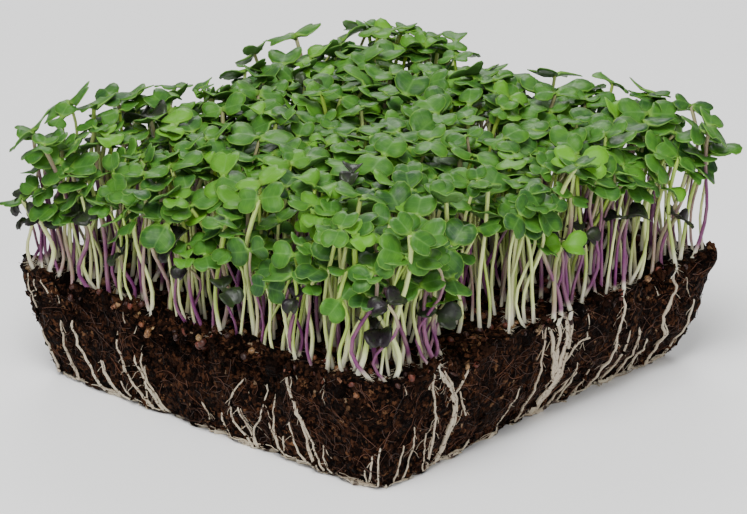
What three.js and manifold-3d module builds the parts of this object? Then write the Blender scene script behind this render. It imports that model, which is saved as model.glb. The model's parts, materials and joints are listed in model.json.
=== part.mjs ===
// A square slab of brassica microgreens, as it comes out of its growing tray.
//
// The slab is a tapered block of moist fibrous soil on a felt of white roots. Roots climb its
// four sides, and a close canopy of two-leaved sprouts stands on top, each stem in its own hole.
// Millimetres, +Z up. The origin is the centre of the flat underside that the slab rests on.
//
// Neighbouring sprouts whose leaves lie in each other make up a tuft, which is one body.

import * as THREE from "three";
import { mergeVertices } from "three/addons/utils/BufferGeometryUtils.js";
import Module from "manifold-3d";

// The soil and the felt of roots under it
const SLAB_SIDE = 124; // side of the square at the soil's surface
const SLAB_HEIGHT = 29; // underside to the soil's surface
const WALL_LEAN = 5.5; // how far each side leans in on its way down
const TOP_SHARPNESS = 40; // exponent of the rounded square at the surface
const FOOT_SHARPNESS = 18; // and at the underside, where the corners are rounder
const FELT_THICKNESS = 1.5;
const CLEARANCE = 0.3; // between pieces that touch in life
const SOIL_CELLS = 13; // facets of the soil along each side
const SOIL_LAYERS = 5; // and down it
const FELT_POINTS = 48; // round the felt
const CRUMB = 1.5; // depth of the crumbly relief
const HUSKS = 14; // seed husks pressed into the surface
const HUSK_RADIUS = 1.2;

// The roots on the sides
const ROOT_RADIUS = 0.8;
const ROOT_BEND = 0.7;
// For each root, in turn round the slab from the +X side: its place along the side on the felt,
// the height it climbs to, and its place along the side there.
const ROOTS = [
  [[-48, 15, -46.5], [-39.5, 25, -43.5], [-34, 26.5, -40], [0.5, 27, -1], [4.5, 26.5, 5.5], [29, 17, 29], [43, 27, 44.5], [51, 17, 53]],
  [[-47, 22, -43], [-35, 13, -31.5], [-22, 26, -25], [-17, 18, -14], [2, 15, 5], [19, 25, 17], [33, 11, 37], [46, 20, 49]],
  [[-45, 16, -48], [-31, 24, -26], [-20, 12, -18], [-3, 21, -9], [11, 26, 8], [24, 14, 27], [37, 19, 31], [48, 25, 45]],
  [[-46, 16.5, -47.5], [-35.5, 17.5, -43.5], [-18, 18.5, -28], [-14, 18.5, -19], [13, 17, 14.5], [17.5, 18.5, 22], [26, 17, 25.5], [37.5, 26, 31]],
];

// The tufts and their sprouts
const TUFTS_PER_SIDE = 7;
const SPROUTS_PER_TUFT = [3, 2]; // at most, in turn
const FOOT_SPACING = 5.5; // between the feet of two stems
const BED_SIDE = 117; // square that the stems' feet are sown in
const EDGE_CLEAR = 4; // least distance from a stem's foot to the slab's edge
const STEM_RADIUS = 0.95;
const STEM_SIDES = 3;
const STEM_SINK = 4; // how deep a stem stands in the soil
const CANOPY_HEIGHT = 30.5; // soil to the leaves at the rim
const CANOPY_DOME = 3; // how much higher the middle stands
const HEIGHT_SPREAD = 3.5; // scatter of the leaf height
const CANOPY_SIDE = 134; // square that the leaves shade
const REACH_OUT = 2.5; // how far a stem at the rim leans out
const LEAN = 4.5; // scatter of the lean
const LEAF_TILT = 0.28;
const LEAF_REACH = 10.4; // stem to the tip of one seed leaf
const NECK = 0.4; // end of the stem's own skin under the leaves
const SMALL_LEAF = 0.86; // size of the smaller leaf of a pair beside the larger
const LEAF_THICKNESS = 0.65;
const LEAF_RISE = 0.34; // slope at which a seed leaf leaves the stem
const LEAF_DROOP = 0.03; // how fast it curves back down, per millimetre
const LEAF_CUP = 0.12; // slope of its edges up from its middle
const TRIES = 90; // ways tried for a sprout, of which the one that shades most soil is kept
const PATCH = 2.5; // size of the squares in which shade is counted

// Low sprouts with dark leaves, which stand alone at the rim
const DARK_SPROUTS = 6;
const DARK_HEIGHT = 17;
const DARK_REACH = 5.2;

const UP = new THREE.Vector3(0, 0, 1);
const manifold = await Module();
manifold.setup();

// ---------------------------------------------------------------- tools

// A seeded random number generator, from 0 to 1.
function seeded(seed) {
  let state = (seed * 2654435761) >>> 0;
  return () => {
    state = (state + 0x6d2b79f5) >>> 0;
    let t = Math.imul(state ^ (state >>> 15), state | 1);
    t ^= t + Math.imul(t ^ (t >>> 7), t | 61);
    return ((t ^ (t >>> 14)) >>> 0) / 4294967296;
  };
}

const spread = (random, amount) => (2 * random() - 1) * amount;

// A closed three.js geometry as a solid that can be joined and cut.
function solidOf(geometry) {
  const bare = geometry.clone();
  bare.deleteAttribute("normal");
  bare.deleteAttribute("uv");
  const merged = mergeVertices(bare, 1e-4);
  return new manifold.Manifold(
    new manifold.Mesh({
      numProp: 3,
      vertProperties: merged.attributes.position.array,
      triVerts: new Uint32Array(merged.index.array),
    }),
  );
}

function geometryOf(solid) {
  const mesh = solid.getMesh();
  const geometry = new THREE.BufferGeometry();
  geometry.setAttribute("position", new THREE.BufferAttribute(mesh.vertProperties, 3));
  geometry.setIndex(new THREE.BufferAttribute(mesh.triVerts, 1));
  geometry.computeVertexNormals();
  return geometry;
}

function joined(solids) {
  return solids.reduce((a, b) => a.add(b));
}

// The largest body of a solid: a crumb that a cut left loose is dropped.
function largestBody(solid) {
  return solid.decompose().reduce((a, b) => (b.volume() > a.volume() ? b : a));
}

function meet(a, b) {
  const [p, q] = [a.boundingBox(), b.boundingBox()];
  const apart = [0, 1, 2].some((k) => p.min[k] > q.max[k] || q.min[k] > p.max[k]);
  return !apart && !a.intersect(b).isEmpty();
}

// A skin over rings of points, closed by a fan at each end. The rings run anticlockwise, seen
// from the last one, and have the same number of points.
function loft(rings) {
  const count = rings[0].length;
  const faces = [];
  for (let r = 0; r + 1 < rings.length; r++)
    for (let i = 0; i < count; i++) {
      const a = r * count + i;
      const b = r * count + ((i + 1) % count);
      faces.push(a, b, b + count, a, b + count, a + count);
    }
  const last = (rings.length - 1) * count;
  for (let i = 1; i + 1 < count; i++) {
    faces.push(0, i + 1, i);
    faces.push(last, last + i, last + i + 1);
  }
  const geometry = new THREE.BufferGeometry().setFromPoints(rings.flat());
  geometry.setIndex(faces);
  return geometry;
}

// A level ring with the given number of sides.
function roundRing(sides, radius, centre, turn = 0) {
  return Array.from({ length: sides }, (_, k) => {
    const angle = turn + (k / sides) * 2 * Math.PI;
    return new THREE.Vector3(Math.cos(angle) * radius, Math.sin(angle) * radius, 0).add(centre);
  });
}

// ---------------------------------------------------------------- the soil

// Half the width of the slab at a height, before its relief.
const wallAt = (z) => SLAB_SIDE / 2 - WALL_LEAN * (1 - z / SLAB_HEIGHT);

// Turns a square round the origin into one with rounded corners, and returns the point's new
// place. The sharper, the smaller the corners' radius.
function roundCorners(x, y, sharpness) {
  const out = Math.max(Math.abs(x), Math.abs(y));
  const length = (Math.abs(x) ** sharpness + Math.abs(y) ** sharpness) ** (1 / sharpness);
  return length ? [(x * out) / length, (y * out) / length] : [0, 0];
}

// How square the slab is at a height.
const sharpnessAt = (z) => THREE.MathUtils.lerp(FOOT_SHARPNESS, TOP_SHARPNESS, z / SLAB_HEIGHT);

// The block, from a box with its corners rounded and its sides leaning in, crumbled a little.
function soilBlock() {
  const random = seeded(11);
  const foot = FELT_THICKNESS + CLEARANCE;
  const height = SLAB_HEIGHT - foot;
  const box = new THREE.BoxGeometry(2, 2, 1, SOIL_CELLS, SOIL_CELLS, SOIL_LAYERS);
  box.deleteAttribute("normal");
  box.deleteAttribute("uv");
  const geometry = mergeVertices(box);
  const points = geometry.attributes.position;
  for (let i = 0; i < points.count; i++) {
    const share = points.getZ(i) + 0.5;
    const z = foot + share * height;
    const [x, y] = roundCorners(points.getX(i), points.getY(i), sharpnessAt(z));
    const onWall = Math.max(Math.abs(points.getX(i)), Math.abs(points.getY(i))) === 1;
    const wall = wallAt(z) - (onWall ? random() * CRUMB : 0);
    const sunk = share === 1 ? random() * CRUMB : 0;
    points.setXYZ(i, x * wall, y * wall, z - sunk);
  }
  return solidOf(geometry);
}

// A seed husk near the edge, half sunk in the surface.
function husk(random) {
  const geometry = new THREE.OctahedronGeometry(HUSK_RADIUS);
  geometry.scale(1, 0.8, 0.8);
  geometry.rotateZ(random() * Math.PI);
  const reach = SLAB_SIDE / 2 - EDGE_CLEAR / 2;
  const side = Math.floor(random() * 4);
  geometry.translate(reach - random() * 2, spread(random, reach - 4), SLAB_HEIGHT - CRUMB / 2);
  geometry.rotateZ((side * Math.PI) / 2);
  return solidOf(geometry);
}

// ---------------------------------------------------------------- the roots

// A root on the slab's +X side, from the felt up to a height.
function sideRoot([start, top, end]) {
  const rings = [0, 0.5, 1].map((share) => {
    const z = THREE.MathUtils.lerp(FELT_THICKNESS / 2, top, share);
    const radius = ROOT_RADIUS * (1.25 - 0.6 * share);
    const along = THREE.MathUtils.lerp(start, end, share) + Math.sin(share * 6 + start) * ROOT_BEND;
    const out = wallAt(z) + CLEARANCE + radius / 2;
    return roundRing(3, radius, new THREE.Vector3(...roundCorners(out, along, sharpnessAt(z)), z));
  });
  return solidOf(loft(rings));
}

// The felt, whose torn rim sticks out round the foot of the soil, with the roots that rise from it.
function rootFelt() {
  const random = seeded(23);
  const brim = CLEARANCE + 1.6 * ROOT_RADIUS;
  const lip = (z, grow) =>
    roundRing(FELT_POINTS, 1, new THREE.Vector3()).map((p) => {
      const square = Math.max(Math.abs(p.x), Math.abs(p.y));
      const [x, y] = roundCorners(p.x / square, p.y / square, FOOT_SHARPNESS);
      const half = wallAt(z) + grow - random() * 0.5;
      return new THREE.Vector3(x * half, y * half, z);
    });
  const middle = (z) => Array(FELT_POINTS).fill(new THREE.Vector3(0, 0, z));
  const edge = [lip(0, brim - 1), lip(FELT_THICKNESS / 2, brim), lip(FELT_THICKNESS, brim - 0.6)];
  const roots = [solidOf(loft([middle(0), ...edge, middle(FELT_THICKNESS)]))];
  ROOTS.forEach((rows, side) => {
    for (const row of rows) roots.push(sideRoot(row).rotate([0, 0, side * 90]));
  });
  return joined(roots);
}

// ---------------------------------------------------------------- a sprout

// A sprout has a foot on the soil, a head where its leaves part, the turn and tilt of the
// leaves, their reach, and how strongly they are folded.

// Puts what is drawn round the origin at the sprout's head, turned and tilted as its leaves are.
function headMatrix({ head, turn, tilt }) {
  const turned = new THREE.Quaternion().setFromAxisAngle(UP, turn);
  const tilted = new THREE.Quaternion().setFromEuler(new THREE.Euler(tilt[0], tilt[1], 0));
  return new THREE.Matrix4().compose(head, tilted.multiply(turned), new THREE.Vector3(1, 1, 1));
}

// The outline of the two seed leaves, narrow where they meet over the stem and notched at each
// tip. One is a little smaller than the other.
function leafOutline(reach) {
  const waist = 0.13 * reach;
  const half = (size) => [
    new THREE.Vector2(0, -waist),
    new THREE.Vector2(0.4 * size, -0.48 * size),
    new THREE.Vector2(0.94 * size, -0.43 * size),
    new THREE.Vector2(0.79 * size, 0),
    new THREE.Vector2(0.94 * size, 0.43 * size),
    new THREE.Vector2(0.4 * size, 0.48 * size),
  ];
  return [...half(reach), ...half(SMALL_LEAF * reach).map((point) => point.negate())];
}

// A whole sprout in one skin: the stem, from its sunken foot up to the neck, leaning more as it
// rises, and on it the pair of leaves, which rise, curve back down and are cupped along their
// middle. Both faces of the blade fan out in the same triangles. With extra, it is that much
// fatter all round.
function sproutBody(sprout, extra = 0) {
  const { foot, head, turn, fold, reach } = sprout;
  const half = LEAF_THICKNESS / 2 + extra;
  const radius = STEM_RADIUS + 2 * extra;
  const place = headMatrix(sprout);
  const placed = (ring) => ring.map((p) => p.clone().applyMatrix4(place));
  const lift = ({ x, y }) =>
    fold * (LEAF_RISE * Math.abs(x) + LEAF_CUP * Math.abs(y)) - LEAF_DROOP * x * x;
  const outline = leafOutline(reach + extra);
  const face = (side) => placed(outline.map((p) => new THREE.Vector3(p.x, p.y, lift(p) + side * half)));
  // Each point of a ring of the stem serves several points of the leaves' outline.
  const ring = (centre, angle = 0) =>
    roundRing(STEM_SIDES, radius, centre, angle - Math.PI / 4).flatMap((p) =>
      Array(outline.length / STEM_SIDES).fill(p),
    );
  const bottom = foot.clone().setZ(foot.z - STEM_SINK - extra);
  const middle = foot.clone().lerp(head, 0.25).setZ((foot.z + head.z) / 2);
  const neck = placed(ring(new THREE.Vector3(0, 0, -half - NECK)));
  const top = placed(outline.map(() => new THREE.Vector3(0, 0, half)));
  return solidOf(loft([ring(bottom, turn), ring(middle, turn), neck, face(-1), face(1), top]));
}

// The hole that a sprout's stem stands in.
function stemHole({ foot, head, turn }) {
  const radius = STEM_RADIUS + 2 * CLEARANCE;
  const low = foot.clone().setZ(foot.z - STEM_SINK - CLEARANCE);
  const high = foot.clone().lerp(head, 0.08).setZ(foot.z + CRUMB);
  const ring = (centre) => roundRing(STEM_SIDES, radius, centre, turn - Math.PI / 4);
  return solidOf(loft([ring(low), ring(high)]));
}

// The patches of the canopy's square that a sprout's leaves would shade.
function shade({ head, turn, reach }) {
  const patches = [];
  for (let u = -reach; u <= reach; u += PATCH / 2)
    for (let v = -reach / 2; v <= reach / 2; v += PATCH / 2) {
      const x = head.x + u * Math.cos(turn) - v * Math.sin(turn);
      const y = head.y + u * Math.sin(turn) + v * Math.cos(turn);
      if (Math.max(Math.abs(x), Math.abs(y)) > CANOPY_SIDE / 2) continue;
      patches.push(Math.round(x / PATCH) + "," + Math.round(y / PATCH));
    }
  return new Set(patches);
}

// ---------------------------------------------------------------- how the sprouts stand

// A way for a sprout to stand on its foot. Near the slab's edge it leans out.
function sproutOn(foot, random) {
  const place = new THREE.Vector2(foot.x, foot.y).divideScalar(SLAB_SIDE / 2);
  const rim = Math.max(Math.abs(place.x), Math.abs(place.y)) ** 4;
  const rise = CANOPY_HEIGHT + CANOPY_DOME * (1 - rim) + spread(random, HEIGHT_SPREAD);
  const head = foot.clone();
  head.x += place.x * rim * REACH_OUT + spread(random, LEAN);
  head.y += place.y * rim * REACH_OUT + spread(random, LEAN);
  head.z += rise;
  return {
    foot,
    head,
    turn: random() * 2 * Math.PI,
    tilt: [spread(random, LEAF_TILT), spread(random, LEAF_TILT)],
    reach: LEAF_REACH * (0.88 + 0.2 * random()),
    fold: 0.5 + 0.8 * random(),
  };
}

// The low dark sprouts, spaced round the rim.
function darkSprouts() {
  const random = seeded(77);
  return Array.from({ length: DARK_SPROUTS }, (_, k) => {
    const angle = ((k + 0.35 + spread(random, 0.2)) / DARK_SPROUTS) * 2 * Math.PI;
    const [x, y] = [Math.cos(angle), Math.sin(angle)];
    const out = (SLAB_SIDE / 2 - EDGE_CLEAR) / Math.max(Math.abs(x), Math.abs(y));
    const foot = new THREE.Vector3(x * out, y * out, SLAB_HEIGHT);
    const head = new THREE.Vector3(x * (out + 3), y * (out + 3), SLAB_HEIGHT + DARK_HEIGHT);
    head.z += spread(random, 3);
    const tilt = [spread(random, 0.3), spread(random, 0.3)];
    return { foot, head, turn: random() * Math.PI, tilt, reach: DARK_REACH, fold: 1.4 };
  });
}

// The feet of one tuft, apart from each other and from all the feet before them.
function tuftFeet(column, row, count, taken) {
  const random = seeded(100 + column * 10 + row);
  const cell = BED_SIDE / TUFTS_PER_SIDE;
  const most = SLAB_SIDE / 2 - EDGE_CLEAR;
  const place = (step) => THREE.MathUtils.clamp((step + random()) * cell - BED_SIDE / 2, -most, most);
  const feet = [];
  for (let tries = 0; feet.length < count && tries < 200; tries++) {
    const foot = new THREE.Vector3(place(column), place(row), SLAB_HEIGHT);
    const nearest = Math.min(...[...taken, ...feet].map((other) => other.distanceTo(foot)));
    if (nearest > FOOT_SPACING * (1 - tries / 400)) feet.push(foot);
  }
  return feet;
}

// Grows all the tufts a sprout at a time. A sprout is kept clear of every other tuft, lies in
// its own tuft's leaves, and of all such ways to stand takes the one that shades most.
function growTufts(others) {
  const tufts = [];
  const feet = others.map(({ foot }) => foot);
  for (let row = 0; row < TUFTS_PER_SIDE; row++)
    for (let column = 0; column < TUFTS_PER_SIDE; column++) {
      const count = SPROUTS_PER_TUFT[(row + column) % SPROUTS_PER_TUFT.length];
      const own = tuftFeet(column, row, count, feet);
      feet.push(...own);
      tufts.push({ feet: own, sprouts: [] });
    }
  const grown = others.map((sprout) => ({ body: sproutBody(sprout) }));
  const shaded = new Set();
  for (let turn = 0; turn < Math.max(...SPROUTS_PER_TUFT); turn++)
    for (const [number, tuft] of tufts.entries()) {
      if (!tuft.feet[turn]) continue;
      const random = seeded(1000 * (turn + 1) + number);
      let best = null;
      for (let tries = 0; tries < TRIES; tries++) {
        const sprout = sproutOn(tuft.feet[turn], random);
        const patches = [...shade(sprout)].filter((patch) => !shaded.has(patch));
        if (best && patches.length <= best.patches.length) continue;
        const body = sproutBody(sprout);
        // The tuft stays one body and closes off no hollow.
        if (joined([body, ...tuft.sprouts.map((own) => own.body)]).decompose().length > 1) continue;
        const wide = sproutBody(sprout, CLEARANCE);
        if (grown.some((other) => other.tuft !== tuft && meet(other.body, wide))) continue;
        best = { ...sprout, tuft, body, patches };
      }
      if (!best) continue;
      best.patches.forEach((patch) => shaded.add(patch));
      tuft.sprouts.push(best);
      grown.push(best);
    }
  return tufts;
}

// ---------------------------------------------------------------- the whole slab

const looks = {
  soil: { color: 0x2b1a12, roughness: 0.95 },
  root: { color: 0xe6dfcf, roughness: 0.7 },
  tuft: { color: 0x4f8f2f, roughness: 0.45 },
  dark: { color: 0x35263c, roughness: 0.4 },
};
const slab = new THREE.Group();

function addPiece(name, solid, look) {
  const mesh = new THREE.Mesh(geometryOf(solid), new THREE.MeshStandardMaterial(look));
  mesh.name = name;
  slab.add(mesh);
}

const dark = darkSprouts();
const tufts = growTufts(dark);

const husks = seeded(31);
let soil = joined([soilBlock(), ...Array.from({ length: HUSKS }, () => husk(husks))]);
for (const sprout of [...dark, ...tufts.flatMap((tuft) => tuft.sprouts)])
  soil = soil.subtract(stemHole(sprout));
addPiece("soil", largestBody(soil), looks.soil);
addPiece("roots", rootFelt(), looks.root);
tufts.forEach(({ sprouts }, k) => {
  const name = "tuft_" + String(k + 1).padStart(2, "0");
  addPiece(name, joined(sprouts.map(({ body }) => body)), looks.tuft);
});
dark.forEach((sprout, k) => addPiece("dark_sprout_" + (k + 1), sproutBody(sprout), looks.dark));

export default slab;
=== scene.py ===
# %% [markdown]
# # A slab of microgreens, grown in soil
#
# The real object is a block of moist fibrous soil, knocked out of its growing tray, with white
# roots climbing its sides and a close canopy of young brassica sprouts. The solid model gives
# the block, the felt of roots and a few large sprouts. This lesson grows the fine version
# around it: every sprout at its real size, crumbs, fibres, seed husks, root hairs and all.
#
# The first cell loads the solid model. Everything is in metres, with the slab's underside at
# height zero, and nothing below is ever fitted or scaled afterwards.

# %% The frame
import json
import math
import random
from itertools import product

import bpy
from mathutils import Matrix, Quaternion, Vector, noise

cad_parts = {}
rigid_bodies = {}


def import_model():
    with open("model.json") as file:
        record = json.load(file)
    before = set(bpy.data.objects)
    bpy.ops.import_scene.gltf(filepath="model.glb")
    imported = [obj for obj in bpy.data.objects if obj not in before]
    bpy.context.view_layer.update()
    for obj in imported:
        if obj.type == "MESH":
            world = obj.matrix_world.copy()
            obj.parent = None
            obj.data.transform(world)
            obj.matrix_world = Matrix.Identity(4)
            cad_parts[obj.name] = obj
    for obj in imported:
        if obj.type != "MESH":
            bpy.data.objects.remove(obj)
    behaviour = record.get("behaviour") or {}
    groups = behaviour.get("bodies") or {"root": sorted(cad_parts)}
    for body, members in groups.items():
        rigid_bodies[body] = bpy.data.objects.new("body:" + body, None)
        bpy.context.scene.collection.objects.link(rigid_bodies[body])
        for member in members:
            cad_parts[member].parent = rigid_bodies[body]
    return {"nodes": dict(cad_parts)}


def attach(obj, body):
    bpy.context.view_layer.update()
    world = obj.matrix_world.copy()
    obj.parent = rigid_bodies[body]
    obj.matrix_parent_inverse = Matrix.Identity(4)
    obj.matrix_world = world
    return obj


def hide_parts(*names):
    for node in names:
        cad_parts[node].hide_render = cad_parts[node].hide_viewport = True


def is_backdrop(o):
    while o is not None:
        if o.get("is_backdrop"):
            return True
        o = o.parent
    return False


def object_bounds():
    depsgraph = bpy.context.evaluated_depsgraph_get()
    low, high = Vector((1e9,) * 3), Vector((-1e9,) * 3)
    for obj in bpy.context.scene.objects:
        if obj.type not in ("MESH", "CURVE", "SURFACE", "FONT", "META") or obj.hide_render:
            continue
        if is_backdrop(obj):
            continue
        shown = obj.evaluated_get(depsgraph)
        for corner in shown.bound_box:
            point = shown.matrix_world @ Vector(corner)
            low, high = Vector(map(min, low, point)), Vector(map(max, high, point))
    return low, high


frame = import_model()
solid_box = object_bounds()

MM = 0.001
print(len(frame["nodes"]), "solids, box in mm:", [[round(v / MM, 1) for v in p] for p in solid_box])

# %% [markdown]
# ## Measures
#
# A few numbers say how big the slab and a sprout are. They stand here together, so that a
# reader can change the age of the crop: thicker stems and wider leaves make an older slab.
# Every level of the block is a square with rounded corners, as a pressed block has, sharper at
# the surface than at the foot.

# %% Measures of the slab and of a sprout
SLAB_SIDE = 124 * MM  # at the soil's surface
SOIL_TOP = 29 * MM  # height of the soil's surface
SOIL_FOOT = 0.6 * MM  # height of the soil's underside, in the felt
WALL_LEAN = 5.5 * MM  # each side leans in by this much on its way down
TOP_SHARPNESS = 40  # of the rounded square at the surface: the higher, the squarer
FOOT_SHARPNESS = 18
WORN_SHARPNESS = 13  # of the corner towards +X and -Y at the surface

LEAF_LENGTH = 6.2 * MM  # one seed leaf, from the stem to its tip
LEAF_WIDTH = 7.3 * MM
LEAF_THICKNESS = 0.32 * MM
STEM_RADIUS = 0.52 * MM


def wall_at(height):
    """Half the width of the slab at a height."""
    return SLAB_SIDE / 2 - WALL_LEAN * (1 - height / SOIL_TOP)


def round_corners(x, y, sharpness):
    """Moves a point of a square round the origin to where it is once the corners are rounded."""
    out = max(abs(x), abs(y))
    length = (abs(x) ** sharpness + abs(y) ** sharpness) ** (1 / sharpness)
    return (x * out / length, y * out / length) if length else (0.0, 0.0)


def sharpness_at(height, x, y):
    top = WORN_SHARPNESS if x > 0 > y else TOP_SHARPNESS
    return FOOT_SHARPNESS + (top - FOOT_SHARPNESS) * height / SOIL_TOP


def turned(side):
    """The turn from the +X side of the slab to another one. Sides are counted round from +X."""
    return Matrix.Rotation(side * math.pi / 2, 3, "Z")


print("half width, top and foot, in mm:", round(wall_at(SOIL_TOP) / MM, 1), round(wall_at(0) / MM, 1))

# %% [markdown]
# ## Camera, floor and light
#
# The camera comes first, because it decides how fine everything else has to be. It stands a
# metre away with a long lens, looks down a little over 20 degrees, and sees the slab corner on.

# %% The camera
CAMERA_AZIMUTH = math.radians(43.7)
CAMERA_ELEVATION = math.radians(20.5)
CAMERA_ROLL = math.radians(-0.81)
CAMERA_DISTANCE = 1.0
FOCAL_PIXELS = 4060
FRAME_WIDTH = 747
SENSOR_WIDTH = 36
SHIFT_PIXELS = Vector((-6.2, -1.2))  # how far the slab's middle is from the picture's


def placed(name, data):
    """A new object in the scene."""
    thing = bpy.data.objects.new(name, data)
    bpy.context.scene.collection.objects.link(thing)
    return thing


target = Vector((0, 0, SOIL_TOP))
back = Vector((
    math.sin(CAMERA_AZIMUTH) * math.cos(CAMERA_ELEVATION),
    -math.cos(CAMERA_AZIMUTH) * math.cos(CAMERA_ELEVATION),
    math.sin(CAMERA_ELEVATION),
))
right = (-back).cross(Vector((0, 0, 1))).normalized()
up = right.cross(-back)
rolled_right = right * math.cos(CAMERA_ROLL) + up * math.sin(CAMERA_ROLL)
rolled_up = up * math.cos(CAMERA_ROLL) - right * math.sin(CAMERA_ROLL)

lens = bpy.data.cameras.new("camera")
lens.sensor_width = SENSOR_WIDTH
lens.lens = FOCAL_PIXELS * SENSOR_WIDTH / FRAME_WIDTH
lens.shift_x = -SHIFT_PIXELS.x / FRAME_WIDTH
lens.shift_y = SHIFT_PIXELS.y / FRAME_WIDTH
lens.clip_end = 10
camera = placed("camera", lens)
camera.matrix_world = Matrix.Translation(target + back * CAMERA_DISTANCE) @ Matrix(
    (rolled_right, rolled_up, back)
).transposed().to_4x4()
bpy.context.scene.camera = camera
print("lens", round(lens.lens, 1), "mm")

# %% [markdown]
# A plain pale floor runs out of sight, and the light is as soft as on an overcast day: a white
# sky, one large lamp high in front, a weak low one that reaches in between the stems, and
# another weak one behind that brightens the rims of leaves.

# %% Floor and light
FLOOR_SIZE = 6.0
FLOOR_SHADE = (0.93, 0.93, 0.93, 1)
FLOOR_ROUGHNESS = 0.9
SKY_STRENGTH = 0.39
LAMPS = {  # where each square lamp stands, its size in metres and its power
    "front_lamp": ((0.35, -0.65, 1.5), 0.9, 38),
    "low_lamp": ((1.1, -0.7, 0.45), 0.8, 8),
    "back_lamp": ((-0.9, 0.9, 0.9), 0.7, 9),
}


def finish_named(name, roughness):
    """A plain finish with its tree and shader."""
    finish = bpy.data.materials.new(name)
    finish.use_nodes = True
    shader = finish.node_tree.nodes["Principled BSDF"]
    shader.inputs["Roughness"].default_value = roughness
    return finish, finish.node_tree, shader


bpy.ops.mesh.primitive_plane_add(size=FLOOR_SIZE)
floor = bpy.context.object
floor.name = "floor"
floor_finish, _, floor_shader = finish_named("pale_floor", FLOOR_ROUGHNESS)
floor_shader.inputs["Base Color"].default_value = FLOOR_SHADE
floor.data.materials.append(floor_finish)
floor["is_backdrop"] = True

sky = bpy.data.worlds.new("sky")
sky.use_nodes = True
sky.node_tree.nodes["Background"].inputs["Color"].default_value = (1, 1, 1, 1)
sky.node_tree.nodes["Background"].inputs["Strength"].default_value = SKY_STRENGTH
bpy.context.scene.world = sky

for name, (place, size, power) in LAMPS.items():
    light = bpy.data.lights.new(name, "AREA")
    light.size = size
    light.energy = power
    lamp = placed(name, light)
    lamp.location = place
    lamp.rotation_euler = (Vector(place) - target).to_track_quat("Z", "Y").to_euler()
print("lamps:", ", ".join(LAMPS))

# %% [markdown]
# ## Reading the solid model
#
# The fine sprouts must grow where the solid ones are. Each solid stem is a short tower of
# triangular rings that stands on one flat triangle. The middles of that triangle and of the
# next ring of points tell where the stem stands and how it leans: half way up, it has gone a
# quarter of its way out.

# %% Feet and heads of the solid sprouts
SAME_PLACE = 1e-6  # metres between points that count as one
SAME_HEIGHT = 1e-5
STEM_SINK = 4 * MM  # depth of a solid stem's end under the surface


def welded(node):
    """A solid's points, once each, and its triangles as numbers of those points."""
    mesh = frame["nodes"][node].data
    seen, points, number = {}, [], []
    for vertex in mesh.vertices:
        key = tuple(round(c / SAME_PLACE) for c in vertex.co)
        if key not in seen:
            seen[key] = len(points)
            points.append(vertex.co.copy())
        number.append(seen[key])
    return points, [tuple(number[i] for i in polygon.vertices) for polygon in mesh.polygons]


def first_rings(points, faces, cap):
    """The middles of a flat triangle and of the ring of points next to it."""
    near = {}
    for face in faces:
        for i in face:
            near.setdefault(i, set()).update(face)
    ring = set(cap)
    beyond = set().union(*(near[i] for i in ring)) - ring
    return [sum((points[i] for i in some), Vector()) / len(some) for some in (ring, beyond)]


def solid_stems(node):
    """The foot and head of each stem of a solid."""
    points, faces = welded(node)
    low = min(point.z for point in points)
    stems = []
    for cap in (face for face in faces if all(points[i].z < low + SAME_HEIGHT for i in face)):
        bottom, middle = first_rings(points, faces, cap)
        foot = Vector((bottom.x, bottom.y, bottom.z + STEM_SINK))
        head = foot + (middle - foot) * 4
        head.z = 2 * middle.z - foot.z
        stems.append((foot, head))
    return stems


tuft_names = sorted(name for name in frame["nodes"] if name.startswith("tuft_"))
dark_names = sorted(name for name in frame["nodes"] if name.startswith("dark_sprout_"))
solid_sprouts = [(name, *stem) for name in tuft_names for stem in solid_stems(name)]
dark_sprouts = [(name, *solid_stems(name)[0]) for name in dark_names]
heights = [round((head.z - foot.z) / MM, 1) for _, foot, head in solid_sprouts]
print(len(solid_sprouts), "solid sprouts,", min(heights), "to", max(heights), "mm tall")

# %% [markdown]
# ## The soil
#
# The block is coir and fine compost that was pressed against the walls of its tray, so it keeps
# the tray's form and crumbles where it is handled. All of that is one rule, which says how deep
# the soil lies under the smooth block at any place. Slow hollows, grains and fine grit are
# everywhere. The upper edge is worn and has slumped in places, and the corner towards +X and -Y
# is rounder. The lower edge is notched, and the foot of the +X side is torn back.

# %% Measures of the relief
TORN_DEPTH = 5 * MM  # how far the foot of the +X side is torn back
TORN_HEIGHT = 12 * MM  # and up to which height
TORN_FROM, TORN_TO = (-60 * MM, 10 * MM), (62 * MM, 48 * MM)  # where it starts and ends along the side
# Where the upper edge has slumped, as (x, y, reach, depth) in mm.
SLUMPS = [
    (-34, -62, 18, 2.6), (-8, -62, 22, 4.6), (18, -62, 18, 4.0), (38, -62, 12, 2.0),
    (62, 38, 12, 2.0), (-62, 20, 16, 2.2), (20, 62, 18, 2.2),
]
# Sizes of the relief, and how deep each kind of it goes in mm.
HOLLOW_SIZE, DENT_SIZE, TOP_HOLLOW_SIZE = 11 * MM, 4.5 * MM, 15 * MM
GRAIN_SIZE, GRIT_SIZE, WEAR_SIZE, NOTCH_SIZE = 2.7 * MM, 1.4 * MM, 7 * MM, 2.6 * MM
HOLLOWS, GRAINS, GRITS, WEAR, NOTCHES = 0.9, 1.0, 0.45, 2.4, 2.6
EVEN_OUT = 0.5  # taken off again, so that the relief lies on both sides of the smooth block
WORN_HEIGHT = 6 * MM  # of the worn band under the upper edge
NOTCH_HEIGHT = 3.5 * MM
print("deepest slump:", max(depth for *_, depth in SLUMPS), "mm")

# %% The rule of the relief
def smooth_step(low, high, value):
    t = max(0.0, min(1.0, (value - low) / (high - low)))
    return t * t * (3 - 2 * t)


def rough(point, size, shift=(0, 0, 0)):
    """A slow random number between about -1 and 1, with swells of a size."""
    return noise.noise(point / size + Vector(shift))


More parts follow.
